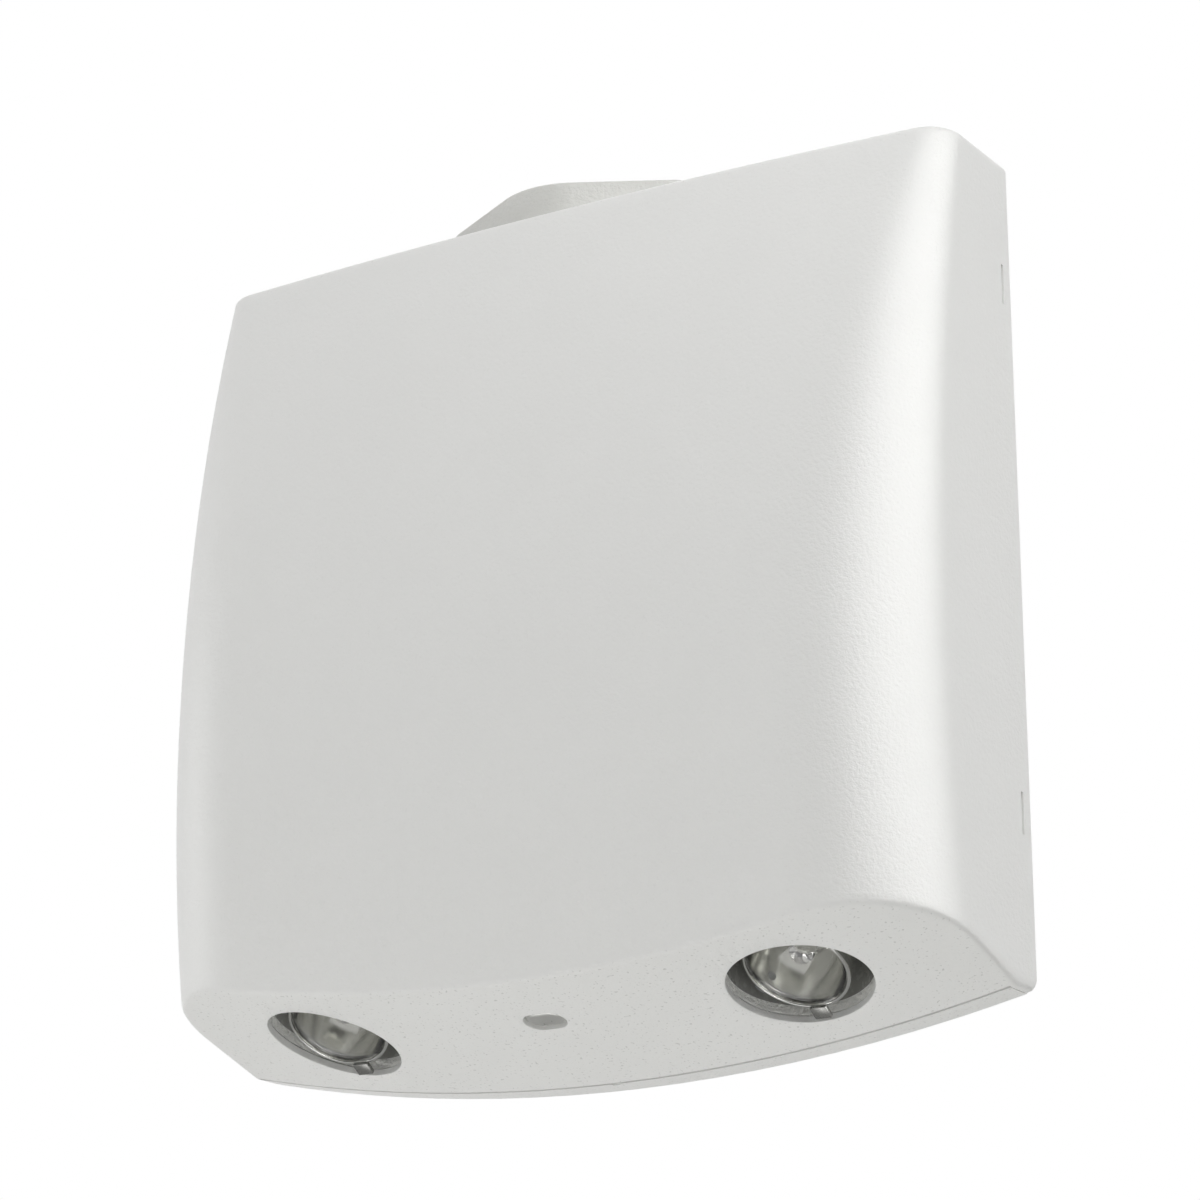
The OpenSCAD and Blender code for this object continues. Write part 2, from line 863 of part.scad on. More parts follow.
module lamp_capsule(side) {
    base = capsule_low + capsule_l;
    color([0.92, 0.94, 0.95])
        at_head(side) {
            translate([0, 0, capsule_low])
                cylinder(r = capsule_r, h = capsule_l);
            translate([0, 0, capsule_low])
                sphere(r = capsule_r);
            translate([-capsule_r, -pinch_t / 2, base])
                cube([2 * capsule_r, pinch_t, pinch_h]);
            for (s = [-1, 1])
                translate([s * lead_pitch / 2, 0, base + pinch_h])
                    cylinder(r = lead_r, h = lead_l);
        }
}

module lamp_socket(side) {
    front = capsule_low + capsule_l + pinch_h + gap;
    neck_end = shell_mouth + shell_bowl + shell_neck;
    color([0.93, 0.91, 0.86])
        at_head(side)
            difference() {
                union() {
                    translate([0, 0, front])
                        cylinder(r = shell_neck_r - shell_t - fit, h = neck_end - front);
                    translate([0, 0, neck_end])
                        cylinder(r = socket_r, h = socket_l);
                }
                for (s = [-1, 1])
                    translate([s * lead_pitch / 2, 0, front - over])
                        cylinder(r = lead_r + fit, h = lead_l + over);
            }
}

module test_button() {
    color([0.86, 0.90, 0.91])
        on_under(0, button_depth) {
            translate([0, 0, button_recess])
                round_bar(button_l, button_w, flange_in - button_recess);
            translate([0, 0, flange_in])
                round_bar(button_l + 2 * flange_rim, button_w + 2 * flange_rim, flange_t);
            translate([0, 0, stem_in])
                cylinder(r = stem_r, h = plunger_in - stem_in);
        }
}

module switch_plunger() {
    color([0.20, 0.20, 0.21])
        on_under(0, button_depth)
            translate([0, 0, plunger_in])
                cylinder(r = plunger_r, h = plunger_l);
}

module test_switch() {
    color([0.14, 0.14, 0.15])
        on_under(0, button_depth)
            difference() {
                translate([-switch_w / 2, -switch_w / 2, switch_in])
                    cube([switch_w, switch_w, switch_h]);
                translate([0, 0, switch_in - over])
                    cylinder(r = plunger_r + fit, h = switch_h - switch_floor + over);
            }
}

module charge_led() {
    color([0.75, 0.12, 0.10])
        on_under(0, button_depth)
            translate([led_x, 0, button_board_in - led_h]) {
                cylinder(r = led_r, h = led_h);
                sphere(r = led_r);
            }
}

module indicator_board() {
    color([0.10, 0.35, 0.20])
        on_under(0, button_depth)
            difference() {
                translate([-button_board_l / 2, -button_board_w / 2, button_board_in])
                    cube([button_board_l, button_board_w, board_t]);
                for (s = [-1, 1])
                    translate([s * button_post, 0, button_board_in - over])
                        cylinder(r = post_screw_r, h = board_t + 2 * over);
            }
}

module indicator_screws() {
    color(steel)
        on_under(0, button_depth)
            for (s = [-1, 1])
                translate([s * button_post, 0, button_board_in + board_t])
                    pan_screw(post_screw_r - fit, post_screw_l - over);
}

module charger_board() {
    color([0.10, 0.35, 0.20])
        difference() {
            translate([board_left, -board_front, board_low])
                cube([board_w, board_t, board_h]);
            at_board_screws(0)
                cylinder(r = plate_screw_r, h = board_front + over);
        }
}

module charger_screws() {
    color(steel)
        at_board_screws(board_front)
            pan_screw(plate_screw_r - fit, board_t + standoff_h - over);
}

module transformer_core() {
    color([0.35, 0.35, 0.37])
        on_plate(core_x, board_front + core_lift, core_z)
            difference() {
                translate([-core_w / 2, -core_h / 2, 0])
                    cube([core_w, core_h, core_d]);
                translate([-coil_w / 2 - gap, -coil_h / 2 - gap, -over])
                    cube([coil_w + 2 * gap, coil_h + 2 * gap, core_d + 2 * over]);
            }
}

module transformer_coil() {
    flange = core_lift - gap;
    color([0.85, 0.75, 0.35])
        on_plate(core_x, board_front, core_z) {
            translate([-coil_w / 2, -coil_h / 2, 0])
                cube([coil_w, coil_h, coil_d]);
            translate([-core_w / 2, -coil_h / 2, 0])
                cube([core_w, coil_h, flange]);
        }
}

module capacitors() {
    color([0.16, 0.18, 0.30])
        for (k = [0, 1])
            on_plate(cap_x, board_front, cap_z + k * cap_pitch)
                cylinder(r = cap_r, h = cap_h);
}

module transfer_relay() {
    color([0.15, 0.30, 0.55])
        on_plate(relay_x, board_front, relay_z)
            translate([-relay_w / 2, -relay_h / 2, 0])
                cube([relay_w, relay_h, relay_d]);
}

module heat_sink() {
    pitch = (sink_w - sink_base) / (sink_fins - 1);
    color([0.20, 0.20, 0.22])
        on_plate(sink_x, board_front, sink_z)
            translate([-sink_w / 2, -sink_base / 2, 0]) {
                cube([sink_w, sink_base, sink_h]);
                for (k = [0:sink_fins - 1])
                    translate([k * pitch, 0, 0])
                        cube([sink_base, sink_d, sink_h]);
            }
}

module power_transistor() {
    color([0.10, 0.10, 0.11])
        on_plate(sink_x, board_front, sink_z - sink_base / 2 - transistor_d)
            translate([-transistor_w / 2, 0, 0])
                cube([transistor_w, transistor_d, transistor_h]);
}

module supply_terminals() {
    pitch = block_w / block_ways;
    color([0.12, 0.45, 0.25])
        on_plate(block_x, board_front, block_z)
            difference() {
                translate([-block_w / 2, -block_h / 2, 0])
                    cube([block_w, block_h, block_d]);
                for (k = [0:block_ways - 1])
                    translate([(k + 1 / 2) * pitch - block_w / 2, 0, block_d / 3])
                        cylinder(r = block_hole_r, h = block_d);
            }
}

module battery_case() {
    body = battery_h - battery_lid_h;
    color([0.22, 0.22, 0.24])
        translate([battery_left, -plate_t - battery_d, battery_seat]) {
            cube([battery_w, battery_d, body]);
            translate([battery_lid_in, battery_lid_in, body - over])
                cube([battery_w - 2 * battery_lid_in, battery_d - 2 * battery_lid_in, battery_lid_h + over]);
        }
}

module battery_terminals() {
    top = battery_seat + battery_h;
    color([0.78, 0.74, 0.66])
        for (s = [1, 3])
            translate([battery_left + s * battery_w / 4, -plate_t - battery_d / 2, top]) {
                translate([-faston_w / 2, -faston_base, 0])
                    cube([faston_w, 2 * faston_base, faston_base]);
                translate([-faston_w / 2, -faston_t / 2, faston_base / 2])
                    cube([faston_w, faston_t, faston_h]);
            }
}

// Steel strap over the battery, with a foot at each side
module battery_strap() {
    out = battery_w + 2 * gap + 2 * strap_t;
    deep = battery_d + gap + strap_t;
    color(steel)
        translate([battery_left - gap - strap_t, -plate_t, strap_z - strap_w / 2])
            difference() {
                union() {
                    translate([0, -deep, 0])
                        cube([out, deep, strap_w]);
                    translate([-strap_foot, -strap_t, 0])
                        cube([out + 2 * strap_foot, strap_t, strap_w]);
                }
                translate([strap_t, strap_t - deep, -over])
                    cube([out - 2 * strap_t, deep, strap_w + 2 * over]);
                for (x = [-strap_foot / 2, out + strap_foot / 2])
                    translate([x, over, strap_w / 2])
                        rotate([90, 0, 0])
                            cylinder(r = plate_screw_r, h = strap_t + 2 * over);
            }
}

module strap_screws() {
    color(steel)
        for (s = [-1, 1])
            on_plate(strap_x(s), plate_t + strap_t, strap_z)
                pan_screw(plate_screw_r - fit, strap_t + plate_t / 2);
}

front_cover();
back_plate();
conduit_box();
conduit_box_screws();
lamp_cup(-1);  // left_lamp_cup
lamp_cup(1);  // right_lamp_cup
cup_screws();
swivel_pin(-1);  // left_swivel_pin
swivel_pin(1);  // right_swivel_pin
lamp_yoke(-1);  // left_lamp_yoke
lamp_yoke(1);  // right_lamp_yoke
lamp_shell(-1);  // left_lamp_shell
lamp_shell(1);  // right_lamp_shell
pivot_pins(-1);  // left_pivot_pins
pivot_pins(1);  // right_pivot_pins
lamp_lens(-1);  // left_lamp_lens
lamp_lens(1);  // right_lamp_lens
lens_ring(-1);  // left_lens_ring
lens_ring(1);  // right_lens_ring
lamp_capsule(-1);  // left_lamp_capsule
lamp_capsule(1);  // right_lamp_capsule
lamp_socket(-1);  // left_lamp_socket
lamp_socket(1);  // right_lamp_socket
test_button();
switch_plunger();
test_switch();
charge_led();
indicator_board();
indicator_screws();
charger_board();
charger_screws();
transformer_core();
transformer_coil();
capacitors();
transfer_relay();
heat_sink();
power_transistor();
supply_terminals();
battery_case();
battery_terminals();
battery_strap();
strap_screws();
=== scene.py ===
"""Twin head emergency light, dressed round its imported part.

Lengths are in metres in the part's own frame: the wall is the plane y = 0,
the front looks along -y, z is up, and the origin is the centre of the outlet
box pattern on the wall face.
"""

import json
import logging
import math
from dataclasses import dataclass
from enum import Enum
from functools import partial
from typing import Callable, Self, Sequence

import bpy
import numpy as np
from mathutils import Matrix, Vector

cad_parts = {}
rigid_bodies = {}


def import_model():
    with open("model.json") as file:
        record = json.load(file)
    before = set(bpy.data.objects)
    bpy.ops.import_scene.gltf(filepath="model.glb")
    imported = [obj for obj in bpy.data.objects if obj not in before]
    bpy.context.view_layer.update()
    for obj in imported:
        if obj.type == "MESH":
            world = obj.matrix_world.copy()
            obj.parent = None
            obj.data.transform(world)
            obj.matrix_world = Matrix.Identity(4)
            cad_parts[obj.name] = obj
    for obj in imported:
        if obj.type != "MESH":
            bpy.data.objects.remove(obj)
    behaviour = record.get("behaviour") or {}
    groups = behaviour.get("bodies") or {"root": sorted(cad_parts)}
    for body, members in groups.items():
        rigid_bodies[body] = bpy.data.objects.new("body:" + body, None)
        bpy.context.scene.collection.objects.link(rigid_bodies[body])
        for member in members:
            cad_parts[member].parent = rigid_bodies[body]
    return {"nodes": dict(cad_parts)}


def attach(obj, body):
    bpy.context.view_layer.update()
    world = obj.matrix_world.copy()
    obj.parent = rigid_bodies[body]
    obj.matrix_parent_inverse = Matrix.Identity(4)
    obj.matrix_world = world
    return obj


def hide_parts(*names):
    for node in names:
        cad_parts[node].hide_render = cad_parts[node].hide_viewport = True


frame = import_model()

MM = 0.001
NEAR = 1e-6
QUARTER = math.pi / 2
SIGNS = (-1, 1)
MIRROR = Matrix.Scale(-1, 4, Vector((1, 0, 0)))
# Most of a noise's values lie between these.
NOISE_SPAN = (0.3, 0.7)
# Places of the two colours among a mix's inputs, and of their mix among its outputs.
FIRST_HUE, SECOND_HUE, MIXED_HUE = 6, 7, 2
log = logging.getLogger("emergency_light")

Point = tuple[float, float]
Spot = tuple[float, float, float]
Materials = dict[str, bpy.types.Material]
Adder = Callable[..., bpy.types.Node]
Height = Callable[[np.ndarray, np.ndarray], np.ndarray]


class Side(Enum):
    """Which of the two lamps, as seen from the front."""

    LEFT = "left"
    RIGHT = "right"


class Cut(Enum):
    """How one solid acts on another."""

    TAKE_AWAY = "DIFFERENCE"
    ADD = "UNION"


class Picked(Enum):
    """Kind of mesh element that an edit works on."""

    VERTICES = (True, False, False)
    EDGES = (False, True, False)


class Zone(Enum):
    """Part of the housing's outline that a column of points stands in."""

    SIDE = 0
    BAND = 1
    MIDDLE = 2


# ---------------------------------------------------------------- finishes


def linear(hex_colour: str) -> tuple[float, float, float, float]:
    """Turns an sRGB hex colour into linear light.

    Args:
        hex_colour: Six hex digits.

    Returns:
        Red, green, blue and an alpha of one.
    """
    shares = [int(hex_colour[i : i + 2], 16) / 255 for i in (0, 2, 4)]
    light = [s / 12.92 if s <= 0.04045 else ((s + 0.055) / 1.055) ** 2.4 for s in shares]
    return (light[0], light[1], light[2], 1.0)


def add_node(
    tree: bpy.types.NodeTree,
    kind: str,
    values: dict | None = None,
    links: dict | None = None,
    **settings: object,
) -> bpy.types.Node:
    """Adds one shader node.

    Args:
        tree: The material's or world's node tree.
        kind: The node's type name, without its common prefix.
        values: Numbers and colours set on its inputs, by input name or place.
        links: What feeds its inputs, by name or place: a socket, or a node for its first output.
        **settings: Properties of the node.

    Returns:
        The new node.
    """
    node = tree.nodes.new(f"ShaderNode{kind}")
    for name, value in settings.items():
        setattr(node, name, value)
    for name, value in (values or {}).items():
        node.inputs[name].default_value = value
    for name, source in (links or {}).items():
        socket = source.outputs[0] if isinstance(source, bpy.types.Node) else source
        tree.links.new(socket, node.inputs[name])
    return node


def ends(low: float, high: float, start: float = 0.0, end: float = 1.0) -> dict[str, float]:
    """Names the ends of a range, and of the range that it is mapped to."""
    return {"From Min": low, "From Max": high, "To Min": start, "To Max": end}


def hues(first: str, second: str) -> dict[int, tuple[float, float, float, float]]:
    """Names the two colours that a mix goes between."""
    return {FIRST_HUE: linear(first), SECOND_HUE: linear(second)}


@dataclass(frozen=True)
class Finish:
    """What every finish has.

    Attributes:
        name: What the finish is called.
        colour: Its colour.
    """

    name: str
    colour: str

    def plain(self) -> dict:
        """Returns the shader's plain numbers and colours, by input."""
        raise NotImplementedError

    def pattern(self, add: Adder, place: bpy.types.NodeOutputs) -> dict:
        """Adds the nodes of the finish's pattern.

        Args:
            add: Adds a node to the material.
            place: The texture coordinates.

        Returns:
            What feeds the shader's inputs, by input.
        """
        raise NotImplementedError

    def material(self) -> bpy.types.Material:
        """Builds the material.

        Returns:
            The material.
        """
        material = bpy.data.materials.new(self.name)
        material.use_nodes = True
        tree = material.node_tree
        tree.nodes.clear()
        add = partial(add_node, tree)
        feeds = self.pattern(add, add("TexCoord").outputs)
        add("OutputMaterial", links={"Surface": add("BsdfPrincipled", self.plain(), feeds)})
        return material


@dataclass(frozen=True)
class MouldedPlastic(Finish):
    """Injection moulded plastic, whose tool leaves a fine pebbled grain.

    Attributes:
        shade: The colour of its broad patches, and of the painted shade in its pits.
        roughness: How matt it is.
        grain: Size of the pebbles.
        depth: Height of the pebbles.
        specks: Share of painted shade by which pits darken the faces that look up or down.
        patches: Share by which broad patches darken it.
        patch_size: Size of the broad patches.
        finer: How many fine pebbles lie along a coarse one, and how much they count.
        pit: How many pits lie along a coarse pebble.
        rare: Where the pits' noise turns from none to full.
        level: How level a face is, from no painted shade in the pits to all of it.
        spread: How far the roughness goes up and down.
    """

    shade: str
    roughness: float = 0.45
    grain: float = 1.2 * MM
    depth: float = 0.03 * MM
    specks: float = 0.0
    patches: float = 0.1
    patch_size: float = 45 * MM
    finer: Point = (2.6, 0.3)
    pit: float = 1.4
    rare: Point = (0.71, 0.8)
    level: Point = (0.4, 0.85)
    spread: float = 0.05

    def plain(self) -> dict:
        """Returns the refraction of a moulding resin."""
        return {"IOR": 1.5}

    def pattern(self, add: Adder, place: bpy.types.NodeOutputs) -> dict:
        """Lays out the grain, the painted shade in the pits of level faces and the broad patches.

        Args:
            add: Adds a node to the material.
            place: The texture coordinates.

        Returns:
            What feeds the shader's inputs, by input.
        """
        at = {"Vector": place["Object"]}
        coarse = add("TexNoise", {"Scale": 1 / self.grain, "Detail": 2.0}, at)
        fine = add("TexNoise", {"Scale": self.finer[0] / self.grain, "Detail": 1.0}, at)
        broad = add("TexNoise", {"Scale": 1 / self.patch_size, "Detail": 3.0}, at)
        pits = add("TexNoise", {"Scale": self.pit / self.grain, "Detail": 0.0}, at)
        height = add("Mix", {"Factor": self.finer[1]}, {"A": coarse, "B": fine})
        bump = add("Bump", {"Distance": self.depth}, {"Height": height})
        # Painted shade: pits darken most on the faces that look up or down, where light rakes over the
        # grain.
        lies = add("SeparateXYZ", links={"Vector": place["Normal"]})
        level = add("Math", links={0: lies.outputs["Z"]}, operation="ABSOLUTE")
        flat = add("MapRange", ends(*self.level, 0.1 * self.specks, self.specks), {"Value": level})
        dark = add("MapRange", ends(*self.rare), {"Value": pits, "To Max": flat})
        dull = add("MapRange", ends(0.35, 0.7, 0.0, self.patches), {"Value": broad})
        share = add("Math", links={0: dull, 1: dark}, use_clamp=True)
        tint = add("Mix", hues(self.colour, self.shade), {0: share}, data_type="RGBA")
        tones = ends(*NOISE_SPAN, self.roughness - self.spread, self.roughness + self.spread)
        gloss = add("MapRange", tones, {"Value": coarse})
        return {"Base Color": tint.outputs[MIXED_HUE], "Roughness": gloss, "Normal": bump}


@dataclass(frozen=True)
class WorkedMetal(Finish):
    """Plated, polished, turned or drawn metal, with the fine lines of its working.

    Attributes:
        tarnish: The colour of its dull patches.
        roughness: How matt it is.
        lines: Spacing of the lines that the working leaves.
        depth: Depth of the lines.
        dull: Share by which dull patches show.
        patch_size: Size of the dull patches.
        stretch: How far the lines are drawn out along z, as a scale.
    """

    tarnish: str
    roughness: float
    lines: float = 0.4 * MM
    depth: float = 0.002 * MM
    dull: float = 0.15
    patch_size: float = 6 * MM
    stretch: float = 0.12

    def plain(self) -> dict:
        """Returns that it is a metal."""
        return {"Metallic": 1.0}

    def pattern(self, add: Adder, place: bpy.types.NodeOutputs) -> dict:
        """Lays out the drawn lines and the dull patches.

        Args:
            add: Adds a node to the material.
            place: The texture coordinates.

        Returns:
            What feeds the shader's inputs, by input.
        """
        at = {"Vector": place["Object"]}
        drawn = add("Mapping", {"Scale": (1.0, 1.0, self.stretch)}, at)
        lines = add("TexNoise", {"Scale": 1 / self.lines, "Detail": 2.0}, {"Vector": drawn})
        patches = add("TexNoise", {"Scale": 1 / self.patch_size, "Detail": 3.0}, at)
        dull = add("MapRange", ends(*NOISE_SPAN, 0.0, self.dull), {"Value": patches})
        tint = add("Mix", hues(self.colour, self.tarnish), {0: dull}, data_type="RGBA")
        tones = ends(*NOISE_SPAN, self.roughness * 0.8, self.roughness * 1.25)
        gloss = add("MapRange", tones, {"Value": lines})
        bump = add("Bump", {"Distance": self.depth}, {"Height": lines})
        return {"Base Color": tint.outputs[MIXED_HUE], "Roughness": gloss, "Normal": bump}


@dataclass(frozen=True)
class ClearSolid(Finish):
    """Pressed glass or clear plastic, bright at its edges.

    Attributes:
        ior: Its refractive index.
        roughness: How matt it is.
        ripple: Size of the soft ripples left by the mould.
        depth: Height of the ripples.
        dust: Size of the dusty patches.
    """

    ior: float
    roughness: float
    ripple: float = 5 * MM
    depth: float = 0.02 * MM
    dust: float = 1.5 * MM

    def plain(self) -> dict:
        """Returns its tint, its refraction and that light passes it."""
        return {"Base Color": linear(self.colour), "Transmission Weight": 1.0, "IOR": self.ior}

    def pattern(self, add: Adder, place: bpy.types.NodeOutputs) -> dict:
        """Lays out the ripples and the dust.

        Args:
            add: Adds a node to the material.
            place: The texture coordinates.

        Returns:
            What feeds the shader's inputs, by input.
        """
        at = {"Vector": place["Object"]}
        ripples = add("TexNoise", {"Scale": 1 / self.ripple, "Detail": 1.0}, at)
        dust = add("TexNoise", {"Scale": 1 / self.dust, "Detail": 2.0}, at)
        bump = add("Bump", {"Distance": self.depth}, {"Height": ripples})
        tones = ends(0.0, 1.0, self.roughness * 0.5, self.roughness * 1.5)
        gloss = add("MapRange", tones, {"Value": dust})
        return {"Normal": bump, "Roughness": gloss}


@dataclass(frozen=True)
class PrintedBoard(Finish):
    """Glass fibre circuit board under green solder mask, with faint tracks.

    Attributes:
        track: The mask over copper.
        pitch: Spacing of the tracks.
        relief: Height of the tracks.
    """

    track: str
    pitch: float = 7 * MM
    relief: float = 0.03 * MM

    def plain(self) -> dict:
        """Returns the gloss of cured mask."""
        return {"Roughness": 0.35}

    def pattern(self, add: Adder, place: bpy.types.NodeOutputs) -> dict:
        """Lays out the tracks.

        Args:
            add: Adds a node to the material.
            place: The texture coordinates.

        Returns:
            What feeds the shader's inputs, by input.
        """
        at = {"Vector": place["Object"]}
        cells = add("TexVoronoi", {"Scale": 1 / self.pitch}, at, distance="CHEBYCHEV")
        tracks = add("MapRange", ends(0.4, 0.46), {"Value": cells})
        tint = add("Mix", hues(self.colour, self.track), {0: tracks}, data_type="RGBA")
        bump = add("Bump", {"Distance": self.relief}, {"Height": tracks})
        return {"Base Color": tint.outputs[MIXED_HUE], "Normal": bump}


@dataclass(frozen=True)
class LayeredStack(Finish):
    """Varnished steel sheets or wound tape, seen as fine parallel lines.

    Attributes:
        line: The gaps between the layers.
        layer: Thickness of one layer.
        metallic: How far it is a bare metal.
        roughness: How matt it is.
        relief: Depth of the gaps.
    """

    line: str
    layer: float
    metallic: float
    roughness: float
    relief: float = 0.05 * MM

    def plain(self) -> dict:
        """Returns how far it is a metal, and its gloss."""
        return {"Metallic": self.metallic, "Roughness": self.roughness}

    def pattern(self, add: Adder, place: bpy.types.NodeOutputs) -> dict:
        """Lays out the layers.

        Args:
            add: Adds a node to the material.
            place: The texture coordinates.

        Returns:
            What feeds the shader's inputs, by input.
        """
        bands = {"Scale": math.pi / (10 * self.layer), "Distortion": 0.4, "Detail": 1.0}
        wave = add("TexWave", bands, {"Vector": place["Object"]}, bands_direction="Y")
        layers = add("MapRange", ends(0.1, 0.5), {"Value": wave.outputs["Fac"]})
        tint = add("Mix", hues(self.line, self.colour), {0: layers}, data_type="RGBA")
        bump = add("Bump", {"Distance": self.relief}, {"Height": layers})
        return {"Base Color": tint.outputs[MIXED_HUE], "Normal": bump}


@dataclass(frozen=True)
class FloorPaint(Finish):
    """Matt floor paint, slightly uneven, of which polished things show another tone.

    Attributes:
        shade: Its darker patches.
        mirrored: What polished and clear things see of it.
        lift: Light that it adds towards the camera, so that it ends in the white behind it.
    """

    shade: str
    mirrored: str
    lift: float = 0.5

    def plain(self) -> dict:
        """Returns how matt it is, and the colour of the light that it adds."""
        return {"Roughness": 0.9, "Emission Color": linear("FFFFFF")}

    def pattern(self, add: Adder, place: bpy.types.NodeOutputs) -> dict:
        """Lays out the patches, and parts what the camera sees from what polish sees.

        Args:
            add: Adds a node to the material.
            place: The texture coordinates.

        Returns:
            What feeds the shader's inputs, by input.
        """
        broad = add("TexNoise", {"Scale": 2.0, "Detail": 2.0}, {"Vector": place["Object"]})
        tint = add("Mix", hues(self.colour, self.shade), {0: broad}, data_type="RGBA")
        ray = add("LightPath").outputs
        either = {0: ray["Is Glossy Ray"], 1: ray["Is Transmission Ray"]}
        polish = add("Math", links=either, operation="MAXIMUM")
        split = {0: polish, FIRST_HUE: tint.outputs[MIXED_HUE]}
        shown = add("Mix", {SECOND_HUE: linear(self.mirrored)}, split, data_type="RGBA")
        lift = add("Math", {1: self.lift}, {0: ray["Is Camera Ray"]}, operation="MULTIPLY")
        return {"Base Color": shown.outputs[MIXED_HUE], "Emission Strength": lift}


# ---------------------------------------------------------------- the bench


def face_outwards() -> None:
    """Turns the faces of the mesh in edit mode outwards."""
    bpy.ops.mesh.select_all(action="SELECT")
    bpy.ops.mesh.normals_make_consistent(inside=False)


def close_form() -> None:
    """Merges the seams of the mesh in edit mode and closes what is open."""
    bpy.ops.mesh.select_all(action="SELECT")
    bpy.ops.mesh.remove_doubles(threshold=NEAR)
    bpy.ops.mesh.select_all(action="DESELECT")
    bpy.ops.mesh.select_non_manifold()
    bpy.ops.mesh.fill_holes(sides=0)
    face_outwards()


def arc(centre: Point, radius: float, start: float, end: float, steps: int) -> list[Point]:
    """Draws an arc in a profile.

    Args:
        centre: Its centre's radius and height.
        radius: Its radius.
        start: Start angle in degrees, from the outward direction.
        end: End angle in degrees.
        steps: Number of chords.

    Returns:
        The arc's points.
    """
    turns = [math.radians(start + (end - start) * i / steps) for i in range(steps + 1)]
    return [(centre[0] + radius * math.cos(t), centre[1] + radius * math.sin(t)) for t in turns]


def round_ended(length: float, width: float, corners: int, grow: float = 0.0) -> list[Point]:
    """Draws a bar with round ends.

    Args:
        length: Its length.
        width: Its width.
        corners: Corners of the outline.
        grow: How far the outline is grown all round.

    Returns:
        The outline's corners.
    """
    reach, radius = (length - width) / 2, width / 2 + grow
    turns = [2 * math.pi * (k + 0.5) / corners for k in range(corners)]
    return [(math.copysign(reach, math.cos(t)) + radius * math.cos(t), radius * math.sin(t)) for t in turns]


